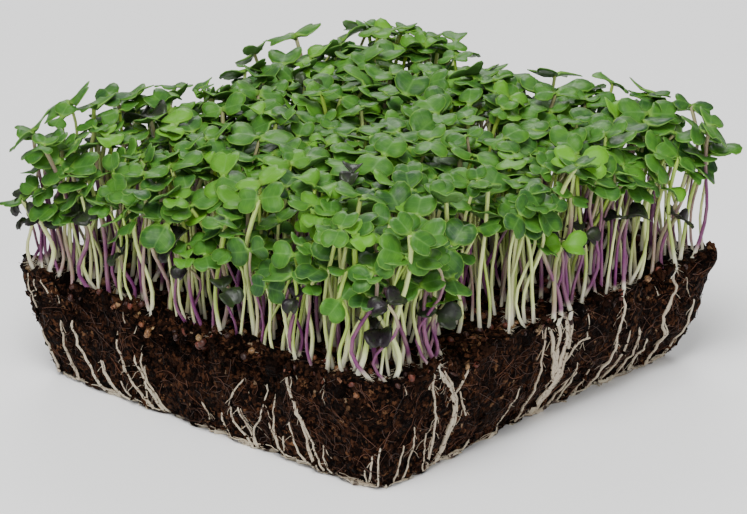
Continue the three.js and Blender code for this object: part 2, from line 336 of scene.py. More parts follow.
def torn_in(place):
    """The place itself, or where it comes near the foot of the +X side, which is torn back."""
    if place.x > 0:
        low = smooth_step(TORN_HEIGHT, 0.0, place.z)
        along = smooth_step(*TORN_FROM, place.y) * smooth_step(*TORN_TO, place.y)
        place.x *= 1 - TORN_DEPTH / (SLAB_SIDE / 2) * low * along
    return place


def slumped(point):
    """How much the upper edge has sunk at a place."""
    deepest = 0.0
    for x, y, reach, depth in SLUMPS:
        gone = (point / MM - Vector((x, y, SOIL_TOP / MM))).length / reach
        deepest = max(deepest, depth * MM * (1 - smooth_step(0.25, 1.0, gone)))
    return deepest


def crumble(point):
    """How deep the soil lies under the smooth block at a place."""
    hollow = rough(point, HOLLOW_SIZE) + 0.6 * rough(point, DENT_SIZE)
    if point.z > SOIL_TOP - 0.5 * MM:
        hollow += 1.7 * rough(point, TOP_HOLLOW_SIZE, (2, 9, 4))
    grain, grit = (noise.voronoi(point / size)[0][0] for size in (GRAIN_SIZE, GRIT_SIZE))
    out = max(abs(point.x), abs(point.y)) / wall_at(point.z)
    edge = smooth_step(SOIL_TOP - WORN_HEIGHT, SOIL_TOP, point.z) * smooth_step(0.88, 1.0, out)
    worn = edge * (0.25 + 1.5 * rough(point, WEAR_SIZE, (5, 5, 5)))
    notched = smooth_step(NOTCH_HEIGHT, SOIL_FOOT, point.z) * max(0.0, rough(point, NOTCH_SIZE, (3, 1, 4)))
    relief = HOLLOWS * hollow + GRAINS * grain + GRITS * grit + WEAR * worn + NOTCHES * notched - EVEN_OUT
    return slumped(point) + MM * relief


print("relief in the middle of the top:", round(crumble(Vector((0, 0, SOIL_TOP))) / MM, 1), "mm")

# %% [markdown]
# Anything that lies on the soil later asks the same rule where the surface is: sprouts ask for
# the ground under a place, and keep clear of the worn edge, and roots ask for a place on a side.

# %% Where the surface is
EDGE_MARGIN = 2.3 * MM  # between a sprout and the edge


def kept_in(x, y):
    """The place itself, or where it comes if it is moved in to a distance from the worn edge."""
    n = sharpness_at(SOIL_TOP, x, y)
    reach = (abs(x) ** n + abs(y) ** n) ** (1 / n)
    limit = SLAB_SIDE / 2 - EDGE_MARGIN - 0.8 * slumped(Vector((x, y, SOIL_TOP)))
    share = min(1.0, limit / reach) if reach else 1.0
    return x * share, y * share


def ground(x, y):
    """A place on the soil's surface."""
    return Vector((x, y, SOIL_TOP - crumble(Vector((x, y, SOIL_TOP)))))


def on_wall(side, along, height, proud=0.0):
    """A place on the soil's side, and the outward direction there."""
    half = wall_at(height)
    limit = half * 0.999
    along = max(-limit, min(limit, along))
    spin = turned(side)
    square = spin @ Vector((half, along, 0))
    sharpness = sharpness_at(height, square.x, square.y)
    x, y = round_corners(half, along, sharpness)
    normal = Vector((1, math.copysign(abs(y / x) ** (sharpness - 1), y), 0)).normalized()
    place, normal = torn_in(spin @ Vector((x, y, height))), spin @ normal
    return place + normal * (proud - crumble(place)), normal


print("the middle of the bed lies at", round(ground(0, 0).z / MM, 1), "mm")

# %% [markdown]
# The block itself starts as a net of small squares in the tray's form. Every point is then
# pushed inwards by the rule.

# %% The block of soil
SOIL_CELLS = 112  # squares along a side
SOIL_LAYERS = 25  # and down it
LOWEST = 0.2 * MM  # no point of the soil comes nearer to the floor
SQUARE = ((0, 0), (1, 0), (1, 1), (0, 1))


def mesh_of(name, points, faces, smooth=True, edges=()):
    mesh = bpy.data.meshes.new(name)
    mesh.from_pydata(points, edges, faces)
    mesh.polygons.foreach_set("use_smooth", [smooth] * len(faces))
    return mesh


def block_point(px, py, share):
    """A point of the smooth block, from its place on a box of -1 to 1 with heights 0 to 1."""
    height = SOIL_FOOT + share * (SOIL_TOP - SOIL_FOOT)
    half = wall_at(height)
    x, y = round_corners(px * half, py * half, sharpness_at(height, px, py))
    return torn_in(Vector((x, y, height)))


def block_net():
    """Points and faces of a box of squares, each turned to face out."""
    number, points, faces = {}, [], []
    n, top = SOIL_CELLS, SOIL_LAYERS

    def at(i, j, k):
        if (i, j, k) not in number:
            number[i, j, k] = len(points)
            points.append(block_point(2 * i / n - 1, 2 * j / n - 1, k / top))
        return number[i, j, k]

    # For each side of the box: where a corner of its squares lies, and whether they turn over.
    level = [(lambda a, b: (a, b, top), False), (lambda a, b: (a, b, 0), True)]
    walls = [
        (lambda a, b: (a, 0, b), False), (lambda a, b: (a, n, b), True),
        (lambda a, b: (0, a, b), True), (lambda a, b: (n, a, b), False),
    ]
    for i in range(n):
        for count, sides in ((n, level), (top, walls)):
            for j, (corner, over) in product(range(count), sides):
                steps = [(v, u) if over else (u, v) for u, v in SQUARE]
                faces.append(tuple(at(*corner(i + u, j + v)) for u, v in steps))
    return points, faces


points, faces = block_net()
soil_mesh = mesh_of("soil_block", points, faces)
outward = [vertex.normal.copy() for vertex in soil_mesh.vertices]
for vertex, normal in zip(soil_mesh.vertices, outward):
    vertex.co -= normal * crumble(vertex.co)
    vertex.co.z = max(vertex.co.z, LOWEST)
soil = placed("soil_block", soil_mesh)
print("soil block:", len(faces), "faces")

# %% [markdown]
# The main roots are listed one by one, in most detail on the two sides that are most often in
# view, and chance adds more of them later. Each is given as a few places, top first, and its
# thickness. A place on a side is a distance along it and a height. A root that starts at the
# very top belongs to a sprout on the rim, and comes out of its collar.

# %% Main roots
# For each root: half its thickness in mm, then (along, height) in mm from its top to the felt.
RIGHT_SIDE = [
    (0.30, (-57.8, 12), (-58.2, 1)), (0.32, (-49.3, 11), (-50.2, 5), (-50.8, 1)),
    (0.34, (-46.6, 15), (-46.0, 8), (-48.1, 1)), (0.30, (-42.5, 12), (-41.2, 1)),
    (0.42, (-43.5, 28.3), (-43.0, 25), (-40.2, 15), (-39.4, 1)),
    (0.85, (-40.6, 28.3), (-39.6, 26), (-35.4, 19), (-34.1, 13), (-34.6, 6), (-36, 1)),
    (0.42, (-29.0, 26), (-31.0, 22), (-34.6, 19)), (0.30, (-32.2, 20), (-31.0, 16), (-29.1, 12)),
    (0.40, (-1.8, 27.5), (-3.0, 20), (-3.4, 14), (-4.8, 1)),
    (0.80, (-0.3, 28.3), (0.6, 20), (1.8, 14), (2.4, 8), (0.6, 1)),
    (0.62, (2.3, 28.3), (2.6, 20), (3.4, 12), (3.0, 6), (2.0, 1)),
    (0.70, (5.9, 28.3), (6.2, 22), (5.6, 15), (4.2, 8), (3.2, 1)),
    (0.34, (14.5, 19), (11.0, 19.4), (8.0, 18), (5.8, 14)),
    (0.50, (25.7, 28.3), (26.0, 24), (24.6, 18), (24.0, 9), (23.6, 1)),
    (0.42, (29.2, 17), (29.6, 12), (28.6, 6), (28.2, 1)),
    (0.46, (34.3, 16), (34.6, 10), (33.6, 4), (33.4, 1)),
    (0.36, (18.6, 9), (17.6, 1)), (0.40, (39.0, 11), (38.0, 1)),
    (0.52, (45.0, 28.3), (45.4, 22), (42.4, 16), (44.2, 9), (43.0, 1)),
    (0.45, (53.6, 18), (53.2, 11), (51.6, 4), (51.0, 1)),
]
LEFT_SIDE = [
    (0.50, (-55.5, 13), (-54.8, 7), (-53.6, 1)), (0.44, (-47.4, 18), (-47.8, 10), (-46.0, 4), (-45.4, 1)),
    (0.46, (-43.5, 19), (-42.0, 12), (-37.5, 4), (-35.5, 1)), (0.34, (-35.6, 10), (-34.0, 5), (-29.7, 1)),
    (0.44, (-28.4, 20), (-27.0, 12), (-24.0, 7), (-17.8, 1)), (0.40, (-22.3, 15), (-19.0, 7), (-15.1, 1)),
    (0.36, (-19.0, 19), (-19.8, 12), (-17.0, 6), (-14.0, 1)), (0.24, (0.3, 9), (2.0, 6), (1.7, 4)),
    (0.22, (6.6, 8), (6.8, 4), (8.0, 1)),
    (0.34, (15.4, 19), (12.0, 14), (10.7, 10), (11.6, 5), (15.5, 1)),
    (0.32, (22.0, 20), (21.6, 14), (19.6, 9), (16.6, 5), (17.4, 1)),
    (0.30, (12.8, 11), (14.6, 6), (17.0, 1)),
    (0.34, (25.6, 18), (24.8, 10), (24.7, 5), (26.6, 1)), (0.36, (29.7, 12), (31.0, 5), (34.4, 1)),
    (0.52, (30.6, 28.3), (31.5, 21), (34.4, 14), (35.2, 7), (37.6, 1)),
    (0.34, (34.0, 17), (36.0, 9), (38.8, 1)), (0.26, (40.2, 9), (40.0, 5), (41.4, 1)),
    (0.26, (53.2, 6), (52.4, 1)), (0.30, (56.5, 10), (55.2, 5), (53.8, 2)),
]
BACK_SIDE = [
    (0.5, (-43, 28.3), (-45, 13), (-47, 1)), (0.4, (-31.5, 14), (-33, 7), (-35, 1)),
    (0.6, (-25, 28.3), (-24, 14), (-22, 1)), (0.4, (-14, 19), (-16, 9), (-17, 1)),
    (0.4, (5, 16), (4, 8), (2, 1)), (0.6, (17, 28.3), (18, 13), (19, 1)),
    (0.4, (37, 12), (35, 6), (33, 1)), (0.5, (49, 21), (48, 10), (46, 1)),
]
FAR_SIDE = [
    (0.4, (-48, 17), (-46, 8), (-45, 1)), (0.6, (-26, 28.3), (-28, 12), (-31, 1)),
    (0.4, (-18, 13), (-19, 6), (-20, 1)), (0.5, (-9, 22), (-7, 11), (-3, 1)),
    (0.6, (8, 28.3), (9, 13), (11, 1)), (0.4, (27, 15), (26, 7), (24, 1)),
    (0.5, (31, 20), (34, 10), (37, 1)), (0.6, (45, 28.3), (46, 13), (48, 1)),
]
MAIN_ROOTS = [RIGHT_SIDE, BACK_SIDE, FAR_SIDE, LEFT_SIDE]
print(sum(len(rows) for rows in MAIN_ROOTS), "main roots")

# %% [markdown]
# ## Planning the crop
#
# A slab this size carries several hundred sprouts. Most are sown on a grid whose points are
# pushed about by chance, which looks scattered and yet leaves no bare patch, and more stand
# along the edges. Sprouts at the rim lean out, and many of them stay short, so that they close
# the canopy at the sides like a skirt. The +X side is more open for most of its length. The few
# dark and tall sprouts that catch the eye, and the edges that hang low, are listed one by one.

# %% Measures of the crop
BED_SIDE = 117 * MM
SPROUTS_ALONG = 27  # in a row, from edge to edge
JITTER = 0.42  # how far a sprout strays from the middle of its square, in squares
RIM_SPROUTS = 44  # more sprouts along each edge, between the rows and the wall
RIM_BAND = (2.2, 7.0)  # how far from the wall they stand, in mm
ELBOW_ROOM = 1.7 * MM  # between the feet of any two sown sprouts
MOST_MOVED = 1.6 * MM  # a sprout that the edge pushes further in is mostly left out
TUFTS_ALONG = 7
ROOF_HEIGHT = 31.5 * MM  # of the leaves above the soil
ROOF_SWELL = 2.4 * MM
SWELL_SIZE = 26 * MM
LEAN = 3.2 * MM
LEAN_OUT = 3.8 * MM
REACH = 59 * MM  # of a stem's head from the middle, each way
DRIFT = 1.3 * MM  # of the whole canopy towards +X and +Y, where the light was
# Sprouts that stand out, as (x, y, height of the leaves) in mm: dark ones and tall ones.
DARK_ONES = [
    (-38, -60, 47), (-25, -59, 38), (-2, -60, 43), (-59, -60, 46), (-60, -57, 38), (55, -55, 40),
    (60, 3, 46), (60, 8, 45), (61, 26, 46), (-46, -29, 63), (28, -34, 66), (6, 43, 64),
    (-31, 11, 64), (33, -59, 41), (60, -40, 43), (-61, 10, 43), (-50, -61, 44), (12, -61, 40),
    (61, 45, 42), (-20, 61, 42), (30, 61, 44), (-61, 38, 41),
]
TALL_ONES = [
    (28, 60, 65), (39, 60, 64), (53, 60, 64), (62, 56, 62), (-59, -29, 65), (-60, -42, 65),
    (-57, -37, 63), (-51, -34, 64), (-58, -47, 64), (-55, -25, 64), (-58, -54, 61), (-40, 58, 64),
    (-58, 20, 64), (-59, 36, 65), (-25, 60, 64), (9, 60, 63), (-57, 61, 62),
]
# Where the canopy's edge hangs low: side, counted round from +X, then from, to and how many.
LOW_EDGES = [(3, -60, 6, 18), (3, 10, 50, 6), (1, -50, 50, 12), (2, -50, 50, 12)]
OPEN_FROM = -20 * MM  # along the +X side: from here on it has hardly any short sprouts
BARE_SPOT = ((61, -24), 9, 8)  # middle, depth and half length of a gap in the crop at the rim
print(SPROUTS_ALONG ** 2, "places in rows,", 4 * RIM_SPROUTS, "along the edges")

# %% [markdown]
# All chance in the crop comes from one generator with a fixed seed, so the slab grows the same
# way every time.

# %% Where sprouts stand
chance = random.Random(12)


def between(low, high):
    return low + (high - low) * chance.random()


def rim_share(x, y):
    """0 in the middle of the slab and 1 at its edge, rising late."""
    return min(1.0, max(abs(x), abs(y)) / (SLAB_SIDE / 2)) ** 4


def roof(x, y):
    """Height of the canopy over a place: nearly level, with slow swells."""
    return ROOF_HEIGHT + ROOF_SWELL * (2 * rough(Vector((x, y, 0)), SWELL_SIZE))


def tuft_of(x, y):
    """The tuft in whose square a foot stands."""
    column, row = (min(TUFTS_ALONG - 1, max(0, int((c / BED_SIDE + 0.5) * TUFTS_ALONG))) for c in (x, y))
    return f"tuft_{row * TUFTS_ALONG + column + 1:02d}"


def in_bare_spot(x, y):
    (middle_x, middle_y), depth, half_length = BARE_SPOT
    return abs(x / MM - middle_x) < depth and abs(y / MM - middle_y) < half_length


def feet():
    """Where sprouts stand: in rows over the whole bed, and once more along the edges."""
    cell = BED_SIDE / SPROUTS_ALONG
    places = [
        [(k + 0.5 + between(-JITTER, JITTER)) * cell - BED_SIDE / 2 for k in spot]
        for spot in product(range(SPROUTS_ALONG), repeat=2)
    ]
    for side, k in product(range(4), range(RIM_SPROUTS)):
        along = ((k + between(0.1, 0.9)) / RIM_SPROUTS - 0.5) * (SLAB_SIDE - 4 * MM)
        spot = turned(side) @ Vector((SLAB_SIDE / 2 - between(*RIM_BAND) * MM, along, 0))
        places.append([spot.x, spot.y])
    return places


def height_share(x, y):
    """A sprout's height beside the roof's. The rim has many short ones, which close its side."""
    if chance.random() < 0.12 + 0.84 * rim_share(x, y) ** 1.1:
        is_open = x > abs(y) * 0.9 and y > OPEN_FROM
        return 1.0 - (0.3 if is_open else 0.5) * chance.random() ** 1.1
    return between(0.86, 1.07) if chance.random() < 0.985 else between(1.1, 1.16)


print("the roof over the middle is", round(roof(0, 0) / MM, 1), "mm above the soil")

# %% [markdown]
# A sprout is a small record: the tuft that it belongs to, where its foot and its head are, and
# its kind. Some have a place of their own: the ones from the tables, one for each root that
# starts at the very top, and those of the low edges.

# %% Sprouts with a place of their own
def new_sprout(piece, foot, head, **more):
    plain = {"piece": piece, "foot": foot, "head": head, "given": False, "kind": "plain", "thick": 0.0}
    return plain | more


def rooted_ones():
    """A sprout on the wall for each main root that starts at the very top."""
    found = []
    for side, rows in enumerate(MAIN_ROOTS):
        for half_thickness, (along, top), *_ in rows:
            if top < SOIL_TOP / MM - 1:
                continue
            foot, outward = on_wall(side, along * MM, top * MM, -0.1 * MM)
            across = outward.cross(Vector((0, 0, 1)))
            head = foot + outward * between(-3, 2) * MM + across * chance.gauss(0, 3) * MM
            head.z = SOIL_TOP + ROOF_HEIGHT * between(0.5, 0.95)
            buried = on_wall(side, along * MM, (top - 3) * MM, -0.3 * MM)[0]
            thick = max(0.8, min(1.1, half_thickness * MM / STEM_RADIUS))
            found.append(new_sprout(tuft_of(foot.x, foot.y), foot, head, buried=buried, thick=thick))
    return found


def low_ones():
    """Low green sprouts that close the sides of the canopy."""
    found = []
    for side, start, end, count in LOW_EDGES:
        for k in range(count):
            along = start + (end - start) * (k + between(0.2, 0.8)) / count
            head = turned(side) @ Vector((between(58, 62), along, between(45, 53))) * MM
            foot = ground(*kept_in(head.x, head.y))
            found.append(new_sprout(tuft_of(foot.x, foot.y), foot, head))
    return found


def marked_ones(kind, rows):
    """The sprouts of one of the tables above."""
    for x, y, height in rows:
        head = Vector((x, y, height)) * MM
        foot = ground(*kept_in(head.x * 0.96, head.y * 0.96))
        yield new_sprout(tuft_of(foot.x, foot.y), foot, head, kind=kind)


print("sprouts along the low edges:", sum(count for *_, count in LOW_EDGES))

# %% [markdown]
# In sowing, the solid sprouts come first, and each one takes over the nearest place. Then come
# those with a place of their own. The other places are filled where there is elbow room.

# %% Sowing
def sow():
    sprouts = [new_sprout(*sprout, given=True) for sprout in solid_sprouts]
    sprouts += [new_sprout(*sprout, given=True, kind="dark") for sprout in dark_sprouts]
    places = feet()
    for sprout in sprouts:
        foot = sprout["foot"]
        places.remove(min(places, key=lambda p: (p[0] - foot.x) ** 2 + (p[1] - foot.y) ** 2))
    sprouts += [*marked_ones("dark", DARK_ONES), *marked_ones("tall", TALL_ONES)]
    sprouts += rooted_ones() + low_ones()
    for x, y in places:
        if in_bare_spot(x, y):
            continue
        foot = ground(*kept_in(x, y))
        if math.hypot(foot.x - x, foot.y - y) > MOST_MOVED and chance.random() < 0.7:
            continue
        if any((foot - other["foot"]).length < ELBOW_ROOM for other in sprouts):
            continue
        out = LEAN_OUT * rim_share(x, y) * between(-0.2, 1.3) / (SLAB_SIDE / 2)
        head_x, head_y = (
            DRIFT + max(-REACH, min(REACH, c + c * out + chance.gauss(0, LEAN))) for c in (x, y)
        )
        head = Vector((head_x, head_y, foot.z + roof(x, y) * height_share(x, y)))
        sprouts.append(new_sprout(tuft_of(x, y), foot, head))
    return sprouts


sprouts = sow()
print(len(sprouts), "sprouts")

# %% [markdown]
# ## The seed leaves
#
# A brassica sprout opens two seed leaves: kidney shaped, notched at the tip, narrowing to a
# short stalk. One is usually the larger. A leaf is a net of two rings and a middle point inside
# a hand-set outline, which gives a round edge with few faces. It is bent in two directions,
# waved a little and given a thickness, so it is a closed solid. Eighteen differently bent pairs
# are made once, of three kinds: plain, young and still half folded, and dark. Every sprout uses
# one of them.
#
# Each point also keeps its place on the leaf as attributes: from stalk to tip, from midrib to
# edge, and how near the rim. The leaf's finish uses them later to draw veins and a pale rim.

# %% One seed leaf
OUTLINE = [  # half of a leaf from the notch to the stalk, in shares of its length and half width
    (0.85, 0.0), (0.97, 0.27), (0.99, 0.58), (0.86, 0.88), (0.62, 1.0),
    (0.39, 0.93), (0.21, 0.66), (0.12, 0.27), (0.0, 0.15),
]
RING_SHARES = (1.0, 0.62)
STALK_DEPTH = 0.7 * MM  # how much thicker a leaf is where its stalk starts
RIM_WAVE = 0.4 * MM


def seed_leaf(scale, rise, droop, cup, twist, wave):
    """Upper and lower points of one leaf along +X, with each point's place and nearness to the rim."""
    outline = OUTLINE + [(u, -v) for u, v in reversed(OUTLINE[1:])]
    net = [(0.5 + (u - 0.5) * share, v * share, share) for share in RING_SHARES for u, v in outline]
    net.append((0.5, 0.0, 0.0))
    upper, lower = [], []
    for u, v, share in net:
        x, y = LEAF_LENGTH * u, LEAF_WIDTH / 2 * v
        z = rise * x - droop * x * x / LEAF_LENGTH + cup * abs(y) ** 1.4 / LEAF_WIDTH ** 0.4
        ripple = RIM_WAVE * share ** 3 * math.sin(3 * math.atan2(v, u - 0.5) + wave)
        z += twist * x * y / LEAF_LENGTH + ripple
        stalk = STALK_DEPTH * (1 - smooth_step(0.0, 0.35, u))
        thickness = LEAF_THICKNESS * (1 - 0.45 * share ** 2) + stalk
        upper.append(Vector((x, y, z + stalk / 2)) * scale)
        lower.append(Vector((x, y, z + stalk / 2 - thickness)) * scale)
    return upper, lower, net


def leaf_faces(first):
    """Faces of one leaf whose points start at a number: two nets and the rim between them."""
    n = 2 * len(OUTLINE) - 1
    below = len(RING_SHARES) * n + 1
    faces = []
    for k in range(n):
        a, b = first + k, first + (k + 1) % n
        nets = [(a, b, b + n, a + n), (a + n, b + n, first + 2 * n)]
        faces += nets + [tuple(i + below for i in reversed(net)) for net in nets]
        faces.append((b, a, a + below, b + below))
    return faces


print("faces of one leaf:", len(leaf_faces(0)))

# %% Eighteen pairs of seed leaves
KINDS = {  # how many pairs, how steeply they rise, how fast they droop and how far their edges turn up
    "plain": (11, (0.12, 0.6), (0.5, 1.15), (-0.34, 0.32)),
    "young": (3, (0.75, 1.15), (0.5, 1.1), (0.3, 0.6)),
    "dark": (4, (0.35, 0.8), (0.9, 1.5), (0.45, 0.8)),
}
FIRST_SEED = 40
SECOND_LEAF = (0.78, 0.98)  # its size beside the first one's


def note(mesh, name, values, kind="FLOAT", domain="POINT"):
    """Writes a named value on every point or face of a mesh."""
    field = "vector" if kind == "FLOAT_VECTOR" else "value"
    mesh.attributes.new(name, kind, domain).data.foreach_set(field, values)


def leaf_pair(name, mood, rise, droop, cup):
    """A pair of leaves over the origin, the larger towards +X."""
    points, faces, places, rims = [], [], [], []
    for turn, scale in ((0.0, 1.0), (math.pi + mood.uniform(-0.3, 0.3), mood.uniform(*SECOND_LEAF))):
        bend = mood.uniform(*rise)
        upper, lower, net = seed_leaf(
            scale, bend, bend * mood.uniform(*droop), mood.uniform(*cup),
            twist=mood.uniform(-0.3, 0.3), wave=mood.uniform(0, 6),
        )
        faces += leaf_faces(len(points))
        points += [Matrix.Rotation(turn, 3, "Z") @ p for p in upper + lower]
        for face_up in (1.0, -1.0):
            places += [c for u, v, _ in net for c in (u, v, face_up)]
            rims += [share for _, _, share in net]
    mesh = mesh_of(name, points, faces)
    note(mesh, "place", places, "FLOAT_VECTOR")
    note(mesh, "rim", rims)
    note(mesh, "leafy", [True] * len(points), "BOOLEAN")
    return bpy.data.objects.new(name, mesh)


pair_patterns = bpy.data.collections.new("pair_patterns")
numbers_of = {}
for kind, (count, *bends) in KINDS.items():
    first = len(pair_patterns.objects)
    numbers_of[kind] = range(first, first + count)
    for number in numbers_of[kind]:
        mood = random.Random(FIRST_SEED + number)
        pair_patterns.objects.link(leaf_pair(f"pair_{number:02d}", mood, *bends))

# %% [markdown]
# ## Settling the canopy
#
# Leaves in a real canopy lie over and under each other, and push each other aside rather than
# cross. So each sprout tries several ways to hold its leaves, and takes the one that meets the
# least of what is already there: leaves at the same height over the same spot, and stems that
# pass through. It is a simple count on a grid, and good enough that few leaves cross.

# %% Ways to hold the leaves
WAYS = 14
LIFT = 2.4  # mm up or down that a way may move the leaves
EASY_WAYS = 4  # the first few ways move them less
TILT = 0.24
SUNWARD = Vector((0.7, -0.7))  # the way that the leaves turn
YOUNG_SHARE = 0.045
SIZES = (0.76, 1.32)
SMALL_KINDS = 0.8  # size of young and dark leaves beside plain ones


def way_to_hold(sprout, way):
    """One way to hold the leaves: where, how far lifted, how turned, how big and which pair."""
    head, given = sprout["head"], sprout["given"]
    rim = rim_share(sprout["foot"].x, sprout["foot"].y)
    outward = Vector((head.x, head.y)).normalized()
    lift = 0.0 if given else chance.uniform(-1, 1) * LIFT * MM * min(1, way / EASY_WAYS)
    tilt = Vector((chance.gauss(0, TILT), chance.gauss(0, TILT)))
    tilt = tilt + outward * rim * between(0.0, 0.9) + SUNWARD * 0.1
    lean = Quaternion((-tilt.y, tilt.x, 0), tilt.length)
    facing = lean @ Quaternion((0, 0, 1), between(0, 2 * math.pi))
    size = between(*SIZES) * (0.86 + 0.14 * min(1.0, (head.z - SOIL_TOP) / ROOF_HEIGHT))
    kind = "dark" if sprout["kind"] == "dark" else "young" if chance.random() < YOUNG_SHARE else "plain"
    variant = chance.choice(numbers_of[kind])
    if kind != "plain":
        size *= SMALL_KINDS
    held = {"head": head + Vector((0, 0, lift)), "facing": facing, "size": size, "variant": variant}
    return held, abs(lift)


print("ways that each sprout tries:", WAYS)

# %% [markdown]
# The grid keeps two notes for each spot: how high leaves already lie there, and which stems
# pass over it. A way costs as much as it meets there, and a little for every lift.

# %% Settling the canopy
SPOT = 1.1 * MM  # size of the squares of the grid
ROOM = 1.3 * MM  # height that a leaf wants to itself
LIFT_COST = 4 * MM  # a lift by this much counts as one crossing
STEM_COST = 0.7  # of a stem that passes through a leaf
TOO_MANY = 4  # crossings of a sprout that presses hard on others
STEM_STEPS = 10


def spot_of(point):
    return round(point.x / SPOT), round(point.y / SPOT)


def feelers(pair):
    """Points on the middle of a pair's leaves with which it feels for others."""
    place = pair.data.attributes["place"].data
    wanted = [k for k, p in enumerate(place) if p.vector.z > 0 and p.vector.x > 0.3]
    return [pair.data.vertices[k].co.copy() for k in wanted[::2]]


def stems_over():
    """For each spot, the sprouts whose stems pass over it, and how high they reach."""
    stems_at = {}
    for number, sprout in enumerate(sprouts):
        foot, head = sprout["foot"], sprout["head"]
        for step in range(STEM_STEPS + 1):
            t = step / STEM_STEPS
            stems_at.setdefault(spot_of(foot + (head - foot) * t * t), []).append((number, head.z))
    return stems_at


def settle():
    """Turns every sprout's leaves the best of several ways. Returns how many press on others."""
    leaves_at, stems_at = {}, stems_over()
    touch = [feelers(pair) for pair in pair_patterns.objects]
    order = sorted(range(len(sprouts)), key=lambda k: (not sprouts[k]["given"], chance.random()))
    crossings = 0
    for number in order:
        least = None
        for way in range(WAYS):
            held, cost = way_to_hold(sprouts[number], way)
            cost /= LIFT_COST
            points = [held["head"] + held["facing"] @ (p * held["size"]) for p in touch[held["variant"]]]
            for p in points:
                spot = spot_of(p)
                cost += sum(max(0.0, 1 - abs(p.z - z) / ROOM) for z in leaves_at.get(spot, ()))
                others = (z for k, z in stems_at.get(spot, ()) if k != number)
                cost += sum(STEM_COST for z in others if z > p.z + 1 * MM)
            if least is None or cost < least:
                least, best, covered = cost, held, points
        crossings += least > TOO_MANY
        for p in covered:
            leaves_at.setdefault(spot_of(p), []).append(p.z)
        sprouts[number].update(best)
    return crossings


print(settle(), "sprouts still press hard on others")

# %% [markdown]
# ## Finishes for stems and leaves
#
# Small helpers keep the node work short. The first ones add a node and fill its inputs, in
# their order or by name, each with a fixed value or with a socket to follow.

# %% Helpers for nodes
def feed(socket, term):
    """Gives an input a fixed value, or another node's output to follow."""
    if isinstance(term, bpy.types.NodeSocket):
        socket.id_data.links.new(term, socket)
    else:
        socket.default_value = term


def set_up(node, **values):
    """Sets a node's properties and inputs by name."""
    for name, value in values.items():
        if hasattr(node, name):
            setattr(node, name, value)
        else:
            feed(node.inputs[name.replace("_", " ")], value)
    return node


def add(tree, kind, *terms, **values):
    """A new node, set up by name and then by the order of its inputs."""
    node = set_up(tree.nodes.new(kind), **values)
    for socket, term in zip(node.inputs, terms):
        feed(socket, term)
    return node


# %% [markdown]
# The others are single nodes under a maker's names. A finish is then a list of the things that
# a painter would do: ground colour, variation, veins, rim, wax.

# %% Helpers for finishes
def read(tree, name, output="Fac"):
    """The attribute of a name, in a finish."""
    return add(tree, "ShaderNodeAttribute", attribute_name=name).outputs[output]


def calc(tree, operation, *terms):
    """The result of a sum of sockets and numbers."""
    return add(tree, "ShaderNodeMath", *terms, operation=operation).outputs[0]


def blend(tree, share, first, second):
    """Two colours mixed by a share. Each may be a socket or a fixed value."""
    node = add(tree, "ShaderNodeMix", data_type="RGBA")
    for number, term in ((0, share), (6, first), (7, second)):
        feed(node.inputs[number], (*term, 1) if isinstance(term, tuple) else term)
    return node.outputs[2]


def ramp(tree, value, low, high, first=0.0, second=1.0):
    """A value stretched from one range to another, smoothly and without running past its ends."""
    terms = value, low, high, first, second
    return add(tree, "ShaderNodeMapRange", *terms, interpolation_type="SMOOTHSTEP").outputs[0]


def own_place(tree):
    return add(tree, "ShaderNodeTexCoord").outputs["Object"]


def clouds(tree, size, detail=3.0, seed=0.0):
    """A soft random pattern on the object, whose blots have about the given size."""
    where = own_place(tree)
    values = {"noise_dimensions": "4D", "Vector": where, "Scale": 1 / size, "Detail": detail, "W": seed}
    return add(tree, "ShaderNodeTexNoise", **values).outputs["Fac"]


def bump(tree, height, depth):
    """The direction of a surface with a fine relief."""
    return add(tree, "ShaderNodeBump", Distance=depth, Strength=1.0, Height=height).outputs["Normal"]

# %% [markdown]
# A seed leaf is a fresh mid green with a soft bloom of wax. Its colour drifts from sprout to
# sprout, from the yellow green of the youngest to a deep bluish green, and sprouts that stay low
# are pushed towards the deep green as painted shade. The underside is paler, the rim is a thin
# light line, and fine pale veins branch from the midrib. A few sprouts carry so much purple
# pigment that their leaves are nearly black.

# %% The leaf finish
LEAF_YOUNG = (0.11, 0.31, 0.014)
LEAF_GREEN = (0.036, 0.122, 0.0145)
LEAF_DEEP = (0.011, 0.048, 0.012)
LEAF_UNDER = (0.085, 0.19, 0.045)
LEAF_RIM = (0.16, 0.32, 0.04)
LEAF_VEIN = (0.12, 0.27, 0.06)
LEAF_DARK = (0.014, 0.007, 0.014)
LEAF_DUSK = (0.020, 0.026, 0.012)
VEINS_ALONG = 4.5  # side veins on half a leaf


